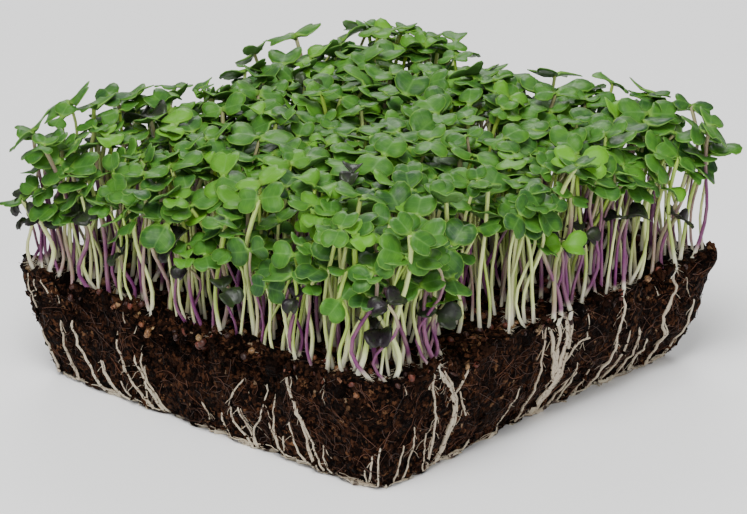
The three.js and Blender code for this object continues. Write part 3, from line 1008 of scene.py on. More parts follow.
def leaf_finish():
    finish, tree, shader = finish_named("seed_leaf", 0.42)
    along, across, side = add(tree, "ShaderNodeSeparateXYZ", read(tree, "place", "Vector")).outputs
    tone, dark = read(tree, "tone"), read(tree, "dark")
    off_middle = calc(tree, "ABSOLUTE", across)

    # The tone is random from sprout to sprout, and lower on low sprouts as painted shade.
    ground = blend(tree, ramp(tree, tone, 0.0, 0.55), LEAF_DEEP, LEAF_GREEN)
    ground = blend(tree, ramp(tree, tone, 0.66, 1.0), ground, LEAF_YOUNG)
    ground = blend(tree, ramp(tree, clouds(tree, 3 * MM), 0.35, 0.7, 0.0, 0.3), ground, LEAF_YOUNG)
    midrib = ramp(tree, off_middle, 0.0, 0.1, 0.3, 0.0)
    branches = calc(tree, "SUBTRACT", calc(tree, "MULTIPLY", along, VEINS_ALONG), off_middle)
    from_branch = calc(tree, "ABSOLUTE", calc(tree, "SUBTRACT", calc(tree, "FRACT", branches), 0.5))
    veins = calc(tree, "MAXIMUM", midrib, ramp(tree, from_branch, 0.0, 0.1, 0.16, 0.0))
    ground = blend(tree, veins, ground, LEAF_VEIN)
    edge = ramp(tree, read(tree, "rim"), 0.93, 1.0)
    ground = blend(tree, calc(tree, "MULTIPLY", edge, 0.6), ground, LEAF_RIM)
    ground = blend(tree, ramp(tree, along, 0.0, 0.22, 0.8, 0.0), ground, LEAF_RIM)
    ground = blend(tree, ramp(tree, side, 0.5, -0.5), ground, LEAF_UNDER)
    dusk = blend(tree, ramp(tree, clouds(tree, 2.5 * MM, seed=11.0), 0.4, 0.65), LEAF_DARK, LEAF_DUSK)
    ground = blend(tree, dark, ground, dusk)
    wax = ramp(tree, clouds(tree, 1.2 * MM, seed=3.0), 0.3, 0.7, 0.38, 0.54)
    wax = calc(tree, "SUBTRACT", wax, calc(tree, "MULTIPLY", dark, 0.14))
    relief = calc(tree, "SUBTRACT", clouds(tree, 0.8 * MM, seed=7.0), calc(tree, "MULTIPLY", veins, 0.6))
    set_up(shader, Base_Color=ground, Roughness=wax, Normal=bump(tree, relief, 0.05 * MM))
    set_up(shader, Specular_IOR_Level=0.19, Subsurface_Weight=0.12)
    set_up(shader, Subsurface_Radius=(0.4, 1.0, 0.2), Subsurface_Scale=0.6 * MM)
    return finish


finishes = {"leaf": leaf_finish()}
print("nodes in the leaf finish:", len(finishes["leaf"].node_tree.nodes))

# %% [markdown]
# The stems are nearly white at the collar, where they have stood in the dark, and take a pale
# yellow or a lime green on the way up. About one in six is flushed with mauve, and one in four
# is a deep purple for most of its length. All of them are smooth and juicy, so light sinks in
# a little.

# %% The stem finish
STEM_COLLAR = (0.64, 0.61, 0.48)
STEM_PALE = (0.60, 0.66, 0.29)
STEM_LIME = (0.34, 0.45, 0.10)
STEM_GREEN = (0.30, 0.48, 0.05)
STEM_MAUVE = (0.25, 0.115, 0.16)
STEM_PURPLE = (0.12, 0.014, 0.10)


def stem_finish():
    finish, tree, shader = finish_named("stem", 0.38)
    along, flush, tone = (read(tree, name) for name in ("along", "flush", "tone"))
    ground = blend(tree, ramp(tree, tone, 0.3, 0.65), STEM_PALE, STEM_LIME)
    ground = blend(tree, ramp(tree, along, 0.02, 0.25), STEM_COLLAR, ground)
    green = calc(tree, "MULTIPLY", ramp(tree, along, 0.35, 1.0), ramp(tree, tone, 0.1, 1.0, 0.35, 0.95))
    ground = blend(tree, green, ground, STEM_GREEN)
    streaks = ramp(tree, clouds(tree, 4 * MM, seed=5.0), 0.3, 0.7, 0.75, 1.0)
    length = calc(tree, "MULTIPLY", ramp(tree, along, 0.02, 0.12), ramp(tree, along, 0.5, 1.0, 1.0, 0.4))
    reach = calc(tree, "MULTIPLY", length, streaks)
    for low, high, colour in ((0.0, 0.5, STEM_MAUVE), (0.5, 1.0, STEM_PURPLE)):
        ground = blend(tree, calc(tree, "MULTIPLY", ramp(tree, flush, low, high), reach), ground, colour)
    relief = clouds(tree, 0.7 * MM, seed=9.0)
    set_up(shader, Base_Color=ground, Specular_IOR_Level=0.3, Normal=bump(tree, relief, 0.04 * MM))
    set_up(shader, Subsurface_Weight=0.25, Subsurface_Radius=(1.0, 0.9, 0.4), Subsurface_Scale=0.8 * MM)
    return finish


finishes["stem"] = stem_finish()
print("finishes:", sorted(finishes))

# %% [markdown]
# ## Growing the sprouts
#
# Each tuft starts as bare lines: one line of points for each stem, which leans more as it
# rises. The points carry the stem's thickness and its tint, and the last point carries how its
# leaves are held. A node tree does the rest. It runs a round section along every line, sets a
# pair of leaves on every last point, makes it all real and gives each half its finish. The
# same tree serves every tuft, with its sizes as named inputs. Roots and crumbs are grown by
# such trees too, so what they share is written as helpers.

# %% Helpers for trees that grow things
def new_tree(name, **sizes):
    """A node tree for geometry with named inputs, and the sockets that bring them in."""
    tree = bpy.data.node_groups.new(name, "GeometryNodeTree")
    for way in ("INPUT", "OUTPUT"):
        tree.interface.new_socket("Geometry", in_out=way, socket_type="NodeSocketGeometry")
    for size, value in sizes.items():
        kind = "NodeSocketInt" if isinstance(value, int) else "NodeSocketFloat"
        socket = tree.interface.new_socket(size.replace("_", " "), in_out="INPUT", socket_type=kind)
        socket.default_value = value
    return tree, tree.nodes.new("NodeGroupInput").outputs


def stored(tree, name, kind="FLOAT"):
    """A named attribute, in a geometry tree."""
    return add(tree, "GeometryNodeInputNamedAttribute", data_type=kind, Name=name).outputs["Attribute"]


def tubes_along(tree, mesh, sides, width):
    """A round, closed tube along every line of a mesh."""
    lines = add(tree, "GeometryNodeMeshToCurve", mesh).outputs[0]
    section = add(tree, "GeometryNodeCurvePrimitiveCircle", Radius=1.0, Resolution=sides).outputs["Curve"]
    tubes = add(tree, "GeometryNodeCurveToMesh", lines, section, Scale=width, Fill_Caps=True)
    return tubes.outputs[0]


def set_out(tree, points, patterns, which, turn, size):
    """Copies of a collection's objects on points, each picked by its number."""
    source = add(tree, "GeometryNodeCollectionInfo", patterns, Separate_Children=True, Reset_Children=True)
    copies = add(tree, "GeometryNodeInstanceOnPoints", points, Pick_Instance=True, Instance_Index=which)
    return set_up(copies, Instance=source.outputs[0], Rotation=turn, Scale=size).outputs[0]


def ending(tree, geometry, *coats):
    """The end of every tree: all made real, then one finish after another on what is chosen."""
    geometry = add(tree, "GeometryNodeRealizeInstances", geometry).outputs[0]
    for finish, chosen in coats:
        geometry = add(tree, "GeometryNodeSetMaterial", geometry, chosen, finish).outputs[0]
    add(tree, "NodeGroupOutput", geometry)


def grown(name, mesh, tree, **inputs):
    """A mesh run through a node tree and made a plain object."""
    carrier = placed(name + "_lines", mesh)
    modifier = carrier.modifiers.new("grow", "NODES")
    modifier.node_group = tree
    for socket in tree.interface.items_tree:
        value = inputs.get(socket.name.replace(" ", "_"))
        if value is not None:
            modifier[socket.identifier] = value
    evaluated = carrier.evaluated_get(bpy.context.evaluated_depsgraph_get())
    result = bpy.data.meshes.new_from_object(evaluated)
    bpy.data.objects.remove(carrier)
    result.name = name
    return placed(name, result)

# %% The sprout tree
def sprout_tree():
    tree, entry = new_tree("sprouts", Stem_Sides=6, Stem_Width=1.0, Leaf_Size=1.0)
    width = calc(tree, "MULTIPLY", stored(tree, "width"), entry["Stem Width"])
    stems = tubes_along(tree, entry["Geometry"], entry["Stem Sides"], width)
    chosen = stored(tree, "tip", "BOOLEAN")
    tips = add(tree, "GeometryNodeMeshToPoints", entry["Geometry"], chosen).outputs[0]
    size = calc(tree, "MULTIPLY", stored(tree, "size"), entry["Leaf Size"])
    which, turn = stored(tree, "variant", "INT"), stored(tree, "facing", "FLOAT_VECTOR")
    both = add(tree, "GeometryNodeJoinGeometry", set_out(tree, tips, pair_patterns, which, turn, size))
    feed(both.inputs[0], stems)
    smooth = add(tree, "GeometryNodeSetShadeSmooth", both.outputs[0]).outputs[0]
    ending(tree, smooth, (finishes["stem"], True), (finishes["leaf"], stored(tree, "leafy", "BOOLEAN")))
    return tree


tree_of_sprouts = sprout_tree()
print("nodes in the sprout tree:", len(tree_of_sprouts.nodes))

# %% [markdown]
# Every sprout gets its own tint and thickness. Purple pigment and a yellow green come and go by
# chance. Sprouts that stay low are thinner, and are given a deeper green as painted shade.

# %% Tints
MAUVE_FROM, PURPLE_FROM = 0.56, 0.73  # of a random number from 0 to 1
TONE, TONE_SPREAD = 0.44, 0.21


def tint(sprout):
    """How purple, how dark and how yellow a sprout is, with painted shade on low ones, and how thick."""
    draw = chance.random()
    flush = 0.0
    if draw >= MAUVE_FROM:
        flush = between(0.15, 0.5) if draw < PURPLE_FROM else between(0.82, 1.0)
    dark = 0.0
    if sprout["kind"] == "dark":
        flush, dark = 1.0, between(0.85, 1.0)
    height = (sprout["head"].z - SOIL_TOP) / ROOF_HEIGHT
    # Sprouts that stay low get a lower tone: painted shade, a deeper green on their leaves.
    tone = min(1.0, max(0.0, chance.gauss(TONE, TONE_SPREAD) - 0.22 * (1 - height)))
    if sprout["variant"] in numbers_of["young"]:
        tone = between(0.76, 0.95)
    stout = between(0.68, 1.1) if chance.random() < 0.94 else between(1.1, 1.35)
    stout *= 0.86 + 0.14 * min(1.0, height)
    sprout.update(flush=flush, dark=dark, tone=tone, thick=max(stout, sprout["thick"]))


for sprout in sprouts:
    tint(sprout)
print("flushed sprouts:", sum(sprout["flush"] > 0 for sprout in sprouts))

# %% [markdown]
# Now the lines themselves. A stem stands nearly upright in the soil, bends more and more
# towards its head and has a slight crook of its own. It swells at the collar and again just
# under the leaves, where it splits into the two leaf stalks.

# %% The line of a stem
STEM_POINTS = 10
STEM_DEPTH = 3 * MM
CROOK = 1.5 * MM
HOOK = 0.9 * MM
FLUSHED_BENT = 1.4  # purple stems are this much more crooked


def stem_line(sprout):
    """Points of a stem from under the soil to the leaves, and its width at each."""
    foot, head = sprout["foot"].copy(), sprout["head"]
    if sprout["given"]:
        foot = ground(*kept_in(foot.x, foot.y))
    buried = sprout.get("buried") or Vector((foot.x * 0.96, foot.y * 0.96, foot.z - STEM_DEPTH))
    bent = (FLUSHED_BENT if sprout["flush"] > 0.7 else 1.0) * min(1.0, (head.z - foot.z) / ROOF_HEIGHT)
    crook, hook = (Vector((chance.gauss(0, far), chance.gauss(0, far), 0)) * bent for far in (CROOK, HOOK))
    late = between(1.0, 2.4)
    thick = STEM_RADIUS * sprout["thick"]
    points, widths = [buried], [thick * 0.9]
    for step in range(STEM_POINTS - 1):
        t = step / (STEM_POINTS - 2)
        point = foot.lerp(head, t ** late)
        point.z = foot.z + (head.z - foot.z) * t
        point += crook * math.sin(math.pi * t) * (1 - 0.4 * t) + hook * math.sin(2 * math.pi * t)
        points.append(point)
        widths.append(thick * (1 + 0.1 * (1 - t) ** 4 - 0.1 * math.sin(math.pi * t) + 0.05 * t ** 6))
    return points, widths


print("points on a stem:", STEM_POINTS)

# %% [markdown]
# A tuft's mesh holds the lines of all its stems, with everything that the tree reads. The tree
# then makes one piece of it, which stands for the solid tuft of the same name.

# %% The tufts
def tuft_lines(name, members):
    points, edges = [], []
    one_each = ("flush", "dark", "tone", "size", "variant")  # values that are the same along a stem
    values = {key: [] for key in ("width", "along", "facing", "tip", *one_each)}
    for sprout in members:
        line, widths = stem_line(sprout)
        count = len(line)
        edges += [(len(points) + k, len(points) + k + 1) for k in range(count - 1)]
        points += line
        values["width"] += widths
        values["along"] += [max(0.0, (k - 1) / (count - 2)) for k in range(count)]
        values["tip"] += [k == count - 1 for k in range(count)]
        values["facing"] += list(sprout["facing"].to_euler()) * count
        for key in one_each:
            values[key] += [sprout[key]] * count
    mesh = mesh_of(name, points, [], edges=edges)
    kinds = {"facing": "FLOAT_VECTOR", "variant": "INT", "tip": "BOOLEAN"}
    for key, numbers in values.items():
        note(mesh, key, numbers, kinds.get(key, "FLOAT"))
    return mesh


def triangles(piece):
    return sum(len(face.vertices) - 2 for face in piece.data.polygons)


for name in tuft_names + dark_names:
    members = [sprout for sprout in sprouts if sprout["piece"] == name]
    piece = grown(name + "_fine", tuft_lines(name, members), tree_of_sprouts)
    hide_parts(name)
    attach(piece, "root")

# %% [markdown]
# ## The finish of the soil
#
# Moist coir is nearly black in its hollows and red brown where a fibre or a chip of husk
# catches the light. The finish gives every small cell of a random pattern its own colour, most
# of them dark, a few rusty and very few tan, and darkens the gaps between the cells with
# painted shade, for the hollows between grains. Crumbs use the same colours and the same
# painted shade, but each crumb carries its own colour as an attribute, so that it is one colour
# all over.

# %% Shades of the soil
SOIL_SHADES = [
    (0.0, (0.002, 0.001, 0.0007)),
    (0.3, (0.009, 0.0040, 0.0025)),
    (0.6, (0.028, 0.0112, 0.0060)),
    (0.82, (0.052, 0.0200, 0.0095)),
    (0.95, (0.085, 0.034, 0.016)),
    (0.992, (0.15, 0.075, 0.036)),
    (1.0, (0.30, 0.21, 0.13)),
]
SOIL_MOIST = (0.004, 0.002, 0.0012)
# Painted shade for the hollows between grains, laid into the gaps between cells.
PAINTED_GAP_SHADE = (0.0012, 0.0006, 0.0004)
CELL_SIZE = 1.0 * MM
RAGGED = 1.9  # how far the noise pulls the edge of a cell, in cells
print("the soil has", len(SOIL_SHADES), "shades")

# %% Helpers for shades and cells
def shades(tree, value, stops):
    """A colour ramp through the given stops."""
    node = add(tree, "ShaderNodeValToRGB", value)
    band = node.color_ramp
    while len(band.elements) < len(stops):
        band.elements.new(0.5)
    for element, (place, colour) in zip(band.elements, stops):
        element.position = place
        element.color = (*colour, 1)
    return node.outputs[0]


def cells(tree, size):
    """A random number for each cell of a ragged pattern on the object, and the distance to its middle."""
    where = own_place(tree)
    wobble = add(tree, "ShaderNodeTexNoise", Vector=where, Scale=1.3 / size, Detail=2.0).outputs["Color"]
    moved = add(tree, "ShaderNodeVectorMath", wobble, (RAGGED * size,) * 3, where, operation="MULTIPLY_ADD")
    cell = add(tree, "ShaderNodeTexVoronoi", Vector=moved.outputs[0], Scale=1 / size)
    return add(tree, "ShaderNodeSeparateXYZ", cell.outputs["Color"]).outputs[0], cell.outputs["Distance"]

# %% The soil finish
def soil_finish(name, by_crumb):
    finish, tree, shader = finish_named(name, 0.7)
    shade, distance = cells(tree, CELL_SIZE)
    if by_crumb:
        shade = read(tree, "shade")
    moist = calc(tree, "MULTIPLY", ramp(tree, clouds(tree, 5 * MM), 0.35, 0.65), 0.55)
    colour = blend(tree, moist, shades(tree, shade, SOIL_SHADES), SOIL_MOIST)
    # Painted shade: darker towards the edge of each cell, for the hollows between grains.
    colour = blend(tree, ramp(tree, distance, 0.4, 0.75), colour, PAINTED_GAP_SHADE)
    damp = ramp(tree, clouds(tree, 0.8 * MM, seed=4.0), 0.35, 0.65, 0.5, 0.85)
    relief = calc(tree, "SUBTRACT", clouds(tree, 0.35 * MM, 5.0), distance)
    set_up(shader, Base_Color=colour, Roughness=damp, Specular_IOR_Level=0.03)
    set_up(shader, Normal=bump(tree, relief, 0.4 * MM))
    return finish


finishes["soil"] = soil_finish("moist_coir", False)
finishes["crumb"] = soil_finish("loose_crumb", True)
soil_mesh.materials.append(finishes["soil"])
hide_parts("soil")
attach(soil, "root")
print("nodes in the soil finish:", len(finishes["soil"].node_tree.nodes))

# %% [markdown]
# ## Crumbs and husks
#
# Loose crumbs and empty seed husks lie on the block. Both are small lumps: rounded cubes of two
# dozen faces, stretched and dented by noise.

# %% Lumps
def lump(name, stretch, dent, seed, smooth):
    """A rounded, dented cube of about the size of 1."""
    steps = (-1.0, 0.0, 1.0)
    lattice = [corner for corner in product(steps, repeat=3) if max(map(abs, corner)) == 1]
    points = []
    for corner in lattice:
        point = Vector(corner).normalized()
        point *= 1 + dent * noise.noise(point * 1.3 + Vector((seed * 9.0, 0, 0)))
        points.append(Vector(a * b for a, b in zip(point, stretch)))
    at = {corner: k for k, corner in enumerate(lattice)}
    faces = []
    for axis, side, u, v in product(range(3), (-1.0, 1.0), (-1.0, 0.0), (-1.0, 0.0)):
        ring = []
        for du, dv in SQUARE:
            corner = [0.0, 0.0, 0.0]
            corner[axis], corner[(axis + 1) % 3], corner[(axis + 2) % 3] = side, u + du, v + dv
            ring.append(at[tuple(corner)])
        faces.append(ring if side > 0 else ring[::-1])
    return bpy.data.objects.new(name, mesh_of(name, points, faces, smooth))


def lump_set(name, count, stretch, dent, smooth):
    patterns = bpy.data.collections.new(name)
    for k in range(count):
        patterns.objects.link(lump(f"{name}_{k}", stretch(k), dent, k, smooth))
    return patterns


crumb_patterns = lump_set("crumb_patterns", 6, lambda k: (1.15, 0.42 + 0.09 * k, 0.5), 1.1, False)
husk_patterns = lump_set("husk_patterns", 3, lambda k: (1.0, 0.8 + 0.05 * k, 0.72), 0.35, True)

# %% [markdown]
# An empty seed husk is a small brown or red shell, with a dull shine and a few stains.

# %% The husk finish
HUSK_SHADES = [
    (0.0, (0.02, 0.008, 0.006)), (0.4, (0.07, 0.016, 0.009)), (0.62, (0.14, 0.03, 0.016)),
    (0.8, (0.20, 0.09, 0.035)), (1.0, (0.34, 0.22, 0.10)),
]
HUSK_STAIN = (0.02, 0.008, 0.005)


def husk_finish():
    finish, tree, shader = finish_named("seed_husk", 0.45)
    colour = shades(tree, read(tree, "shade"), HUSK_SHADES)
    colour = blend(tree, ramp(tree, clouds(tree, 0.6 * MM), 0.4, 0.65, 0.0, 0.7), colour, HUSK_STAIN)
    relief = bump(tree, clouds(tree, 0.3 * MM), 0.06 * MM)
    set_up(shader, Base_Color=colour, Specular_IOR_Level=0.3, Normal=relief)
    return finish


finishes["husk"] = husk_finish()
print("the husks have", len(HUSK_SHADES), "shades")

# %% [markdown]
# One node tree scatters them: it strews points over a surface, sets a lump on every point with
# a chance turn, size and shade, and makes them real.

# %% The scatter tree
SMALL_MORE_OFTEN = 2.5  # the higher, the fewer large lumps
SCATTER_SEED = 3


def scatter_tree(name, patterns, finish):
    tree, entry = new_tree(name, Density=1.0, Smallest=1.0, Largest=1.0, Seed=0)
    strewn = add(
        tree, "GeometryNodeDistributePointsOnFaces", distribute_method="RANDOM", Mesh=entry["Geometry"],
        Selection=stored(tree, "strew"), Density=entry["Density"], Seed=entry["Seed"],
    )

    def drawn(kind, low, high, offset):
        """A random value for each lump."""
        node = add(tree, "FunctionNodeRandomValue", data_type=kind)
        for socket, term in zip([socket for socket in node.inputs if socket.enabled], (low, high)):
            feed(socket, term)
        feed(node.inputs["Seed"], calc(tree, "ADD", entry["Seed"], offset))
        return next(socket for socket in node.outputs if socket.enabled)

    share = calc(tree, "POWER", drawn("FLOAT", 0.0, 1.0, 1), SMALL_MORE_OFTEN)
    size = add(tree, "ShaderNodeMapRange", share, To_Min=entry["Smallest"], To_Max=entry["Largest"])
    which = drawn("INT", 0, len(patterns.objects) - 1, 2)
    turn = drawn("FLOAT_VECTOR", (0, 0, 0), (6.28, 6.28, 6.28), 3)
    lumps = set_out(tree, strewn.outputs["Points"], patterns, which, turn, size.outputs[0])
    shade = add(tree, "GeometryNodeStoreNamedAttribute", data_type="FLOAT", domain="INSTANCE", Name="shade")
    set_up(shade, Geometry=lumps, Value=drawn("FLOAT", 0.0, 1.0, 4))
    ending(tree, shade.outputs[0], (finish, True))
    return tree


crumb_tree = scatter_tree("crumbs", crumb_patterns, finishes["crumb"])
husk_tree = scatter_tree("husks", husk_patterns, finishes["husk"])
print("nodes in a scatter tree:", len(crumb_tree.nodes))

# %% [markdown]
# Fine crumbs cover the sides and the outer part of the top, bigger clods sit along the worn
# upper edge, and a hem of small crumbs hangs together round the foot. Each sprout has also shed
# its seed husk, one or two millimetres long, which lies between the stems and on the rim.

# %% Crumbs, clods and husks
def strewn_over(name, keep, tree, **inputs):
    """Lumps over the faces of the soil whose middle and outward direction pass a test."""
    carrier = soil_mesh.copy()
    chosen = [float(keep(face.center, face.normal)) for face in carrier.polygons]
    note(carrier, "strew", chosen, domain="FACE")
    piece = grown(name, carrier, tree, **inputs)
    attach(piece, "root")
    return piece


def near_edge(middle, share):
    return max(abs(middle.x), abs(middle.y)) > share * SLAB_SIDE / 2


ZONES = {  # tests of a face's middle and outward direction
    "upright": lambda middle, normal: middle.z > 1.8 * MM and -0.5 < normal.z < 0.6,
    "level": lambda middle, normal: normal.z >= 0.6 and near_edge(middle, 0.62),
    "brink": lambda middle, normal: middle.z > SOIL_TOP - 4 * MM and near_edge(middle, 0.93),
    "hem": lambda middle, normal: 1.6 * MM < middle.z < 4.6 * MM and normal.z > -0.7,
}
for name, zone, tree, density, smallest, largest in (  # lumps in a square mm, and their sizes in mm
    ("loose_crumbs", "upright", crumb_tree, 0.16, 0.22, 1.15),
    ("surface_grit", "level", crumb_tree, 0.07, 0.3, 1.1),
    ("clods", "brink", crumb_tree, 0.08, 0.8, 2.8),
    ("hem_crumbs", "hem", crumb_tree, 0.6, 0.3, 0.7),
    ("seed_husks", "level", husk_tree, 0.04, 0.95, 1.5),
    ("rim_husks", "brink", husk_tree, 0.045, 0.95, 1.5),
):
    amounts = {"Density": density / MM**2, "Smallest": smallest * MM, "Largest": largest * MM}
    lumps = strewn_over(name, ZONES[zone], tree, Seed=SCATTER_SEED, **amounts)
    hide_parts("soil")
    print(name, len(lumps.data.polygons), "faces")

# %% [markdown]
# ## Roots, hairs and fibres
#
# Roots that met the tray's wall turned down and ran along it to the bottom, where they matted
# into a felt. Each one is a line that lies on the crumbled surface. It carries its thickness,
# and one small node tree runs a section along all such lines: the roots, their fine side roots
# and hairs, which are a piece of their own, and the fibres of the coir itself.

# %% Lines that lie on the soil
class Strands:
    """Lines with a thickness at every point, gathered for one mesh."""

    def __init__(self):
        self.points, self.edges, self.widths, self.ages = [], [], [], []

    def line(self, points, widths, age):
        first = len(self.points)
        self.edges += [(first + k, first + k + 1) for k in range(len(points) - 1)]
        self.points += points
        self.widths += widths
        self.ages += [age] * len(points)

    def mesh(self, name):
        mesh = mesh_of(name, self.points, [], edges=self.edges)
        note(mesh, "width", self.widths)
        note(mesh, "age", self.ages)
        return mesh


def strand_tree(name, finish):
    tree, entry = new_tree(name, Sides=4, Thickness=1.0)
    width = calc(tree, "MULTIPLY", stored(tree, "width"), entry["Thickness"])
    tubes = tubes_along(tree, entry["Geometry"], entry["Sides"], width)
    ending(tree, add(tree, "GeometryNodeSetShadeSmooth", tubes).outputs[0], (finish, True))
    return tree


roots, hairs, fibres = Strands(), Strands(), Strands()
print("bundles of strands:", len((roots, hairs, fibres)))

# %% [markdown]
# Young roots are ivory white and faintly glassy, stained brown in places by the soil that
# clings to them. The same finish serves for the felt under the block, with larger stains.

# %% The root finish
ROOT_WHITE = (0.50, 0.435, 0.325)
ROOT_OLD = (0.27, 0.20, 0.13)
ROOT_STAIN = (0.035, 0.014, 0.007)
FIBRE_RED = (0.17, 0.05, 0.014)
FIBRE_DARK = (0.016, 0.006, 0.003)
FIBRE_STAIN = (0.03, 0.012, 0.006)


def root_finish(name, stain_from, stain_size):
    finish, tree, shader = finish_named(name, 0.55)
    colour = blend(tree, read(tree, "age"), ROOT_WHITE, ROOT_OLD)
    blot = ramp(tree, clouds(tree, stain_size, 5.0, seed=2.0), stain_from, stain_from + 0.1)
    relief = bump(tree, clouds(tree, 0.4 * MM, 4.0), 0.12 * MM)
    set_up(shader, Base_Color=blend(tree, blot, colour, ROOT_STAIN), Normal=relief)
    set_up(shader, Subsurface_Weight=0.15, Subsurface_Radius=(1.0, 0.8, 0.6), Subsurface_Scale=0.4 * MM)
    return finish


def fibre_finish():
    finish, tree, shader = finish_named("coir_fibre", 0.6)
    colour = blend(tree, read(tree, "age"), FIBRE_RED, FIBRE_DARK)
    colour = blend(tree, ramp(tree, clouds(tree, 3 * MM), 0.3, 0.7, 0.0, 0.5), colour, FIBRE_STAIN)
    set_up(shader, Base_Color=colour, Normal=bump(tree, clouds(tree, 0.3 * MM), 0.05 * MM))
    return finish


finishes["root"] = root_finish("root_skin", 0.56, 0.8 * MM)
finishes["felt"] = root_finish("root_felt", 0.45, 3.2 * MM)
finishes["fibre"] = fibre_finish()
print("finishes:", sorted(finishes))

# %% [markdown]
# A root's path is rounded where it bends, and its points are laid on the soil one by one. It
# wanders a little, swells and thins, and sends out side roots that hang down on either side,
# and short hairs.

# %% A root's path and its hairs
STEP = 1.3 * MM  # between the points of a root


def smooth_path(places):
    """A path through the places at even steps, rounded where it bends."""
    places = [places[0]] + places + [places[-1]]
    path = []
    for a, b, c, d in zip(places, places[1:], places[2:], places[3:]):
        steps = max(1, round((c - b).length / STEP))
        for k in range(steps):
            t = k / steps
            curved = (2 * a - 5 * b + 4 * c - d) * t * t
            path.append(0.5 * (2 * b + (c - a) * t + curved + (3 * b - a - 3 * c + d) * t ** 3))
    return path + [places[-1]]


def hair(root, direction, length, width, age):
    """A short tapering hair of three points with a slight bend."""
    bend = Vector(chance.gauss(0, 0.25) for _ in range(3)) * length
    points = [root, root + direction * length * 0.5 + bend * 0.4, root + direction * length + bend]
    points = [Vector((p.x, p.y, max(p.z, 0.1 * MM))) for p in points]
    hairs.line(points, [width, width * 0.8, width * 0.35], age)


print("points on a root of 20 mm:", len(smooth_path([Vector((0, 20 * MM)), Vector((0, 0))])))

# %% How a root grows
LATERALS = 0.32  # chance of a side root at each point
FEW_LATERALS = 0.15
WANDER, WANDER_SIZE = 0.45, 3 * MM  # how far a root strays from its path in mm, and how slowly
SWELLING_SIZE = 1.8 * MM
HAIR_WIDTH = 0.045 * MM


def side_root(side, place, age):
    """A thin root that leaves a main one sideways and turns down."""
    way = chance.choice((-1, 1))
    path = [place.copy()]
    heading = between(0.5, 1.3) * way
    for _ in range(chance.choice((1, 2, 3, 4))):
        heading *= between(0.6, 1.1)
        path.append(path[-1] + Vector((math.sin(heading), -math.cos(heading))) * between(0.7, 1.5) * MM)
    thin = between(0.07, 0.14) * MM
    line = [on_wall(side, p.x, max(1 * MM, p.y), 0.1 * MM)[0] for p in path]
    hairs.line(line, [thin * (1 - 0.5 * n / len(line)) for n in range(len(line))], age)


def grow_root(side, radius, places, laterals=LATERALS):
    path = smooth_path(places)
    age = between(0.0, 0.5)
    points, widths = [], []
    last = len(path) - 1
    for k, (along, height) in enumerate(path):
        at_top = smooth_step(0.0, 0.12, k / last)
        wander = WANDER * MM * rough(Vector((along, height, side * 9)), WANDER_SIZE)
        swell = 1 + 0.3 * rough(Vector((along, height, side + 4)), SWELLING_SIZE)
        width = radius * swell * (0.45 + 0.55 * at_top) * (1 + 0.2 * (k / last))
        point, normal = on_wall(side, along + wander, height, width * 0.35 - 0.7 * MM * (1 - at_top))
        points.append(point)
        widths.append(width)
        if 0 < k < last and chance.random() < laterals:
            side_root(side, path[k], age)
        for _ in range(chance.choice((0, 1, 1, 2)) if k % 2 == 0 else 0):
            across = turned(side) @ Vector((0, chance.choice((-1, 1)), chance.gauss(0, 0.4)))
            direction = (across + normal * between(0, 0.4)).normalized()
            hair(point, direction, between(0.4, 1.3) * MM, HAIR_WIDTH, age)
    roots.line(points, widths, age)

# %% Growing the roots
EXTRA_ROOTS = [4, 13, 13, 5]  # for each side, roots that are placed by chance
STOUT = 0.55  # mm, from which a main root is a bundle of several
RIM_ROOT_TOP = 28.4 * MM

for side, rows in enumerate(MAIN_ROOTS):
    for radius, *places in rows:
        places = [Vector(place) * MM for place in places]
        stout = radius > STOUT
        grow_root(side, radius * (0.56 if stout else 0.68) * MM, places)
        for _ in range(3 if stout else chance.choice((0, 1))):
            beside = Vector((chance.gauss(0, 1.3) * MM, 0))
            cut = chance.choice((0, 0, 1)) if len(places) > 2 else 0
            companion = [p + beside * (1 - 0.4 * n / len(places)) for n, p in enumerate(places)]
            grow_root(side, radius * between(0.3, 0.55) * MM, companion[cut:], FEW_LATERALS)
    for _ in range(EXTRA_ROOTS[side]):
        along, top = between(-50, 50) * MM, between(4, 15) * MM
        drift = between(-2, 6) * MM * (1 if side in (1, 3) else -1)
        places = [(along, top), (along + drift * 0.4, top / 2), (along + drift, 1 * MM)]
        grow_root(side, between(0.16, 0.3) * MM, [Vector(place) for place in places])
for sprout in sprouts:
    foot = sprout["foot"]
    side = round(math.atan2(foot.y, foot.x) / (math.pi / 2)) % 4
    out, along, _ = turned(-side) @ foot
    if out < SLAB_SIDE / 2 - 4 * MM or chance.random() < 0.6:
        continue
    length, drift = between(3, 10) * MM, between(-2, 2) * MM
    places = [Vector((along + drift * t, RIM_ROOT_TOP - length * t)) for t in (0, 0.5, 1)]
    grow_root(side, between(0.1, 0.18) * MM, places)
print("root points:", len(roots.points))

# %% [markdown]
# The felt under the block is a mat of the same roots. It is a thin closed dish whose torn rim
# laps up the soil in patches, and draws back under it between them.

# %% A section of the felt
RIM_POINTS = 560
LAP = 2.6 * MM  # how high the felt laps up the soil at most
FELT_MIDDLE = 2.0 * MM  # height of the felt inside the block


def felt_rim(side, along):
    """Height of the felt's torn upper edge at a place, and how far it covers the soil there."""
    spot = Vector((along, side * 0.3, 0))
    patch = rough(spot, 9 * MM) + 0.5 * rough(spot, 2.2 * MM)
    fray = 0.45 * rough(spot, 0.7 * MM)
    return 0.6 * MM + LAP * max(0.0, 0.8 * patch - 0.05) + fray * MM * 0.8, smooth_step(0.0, 0.3, patch)


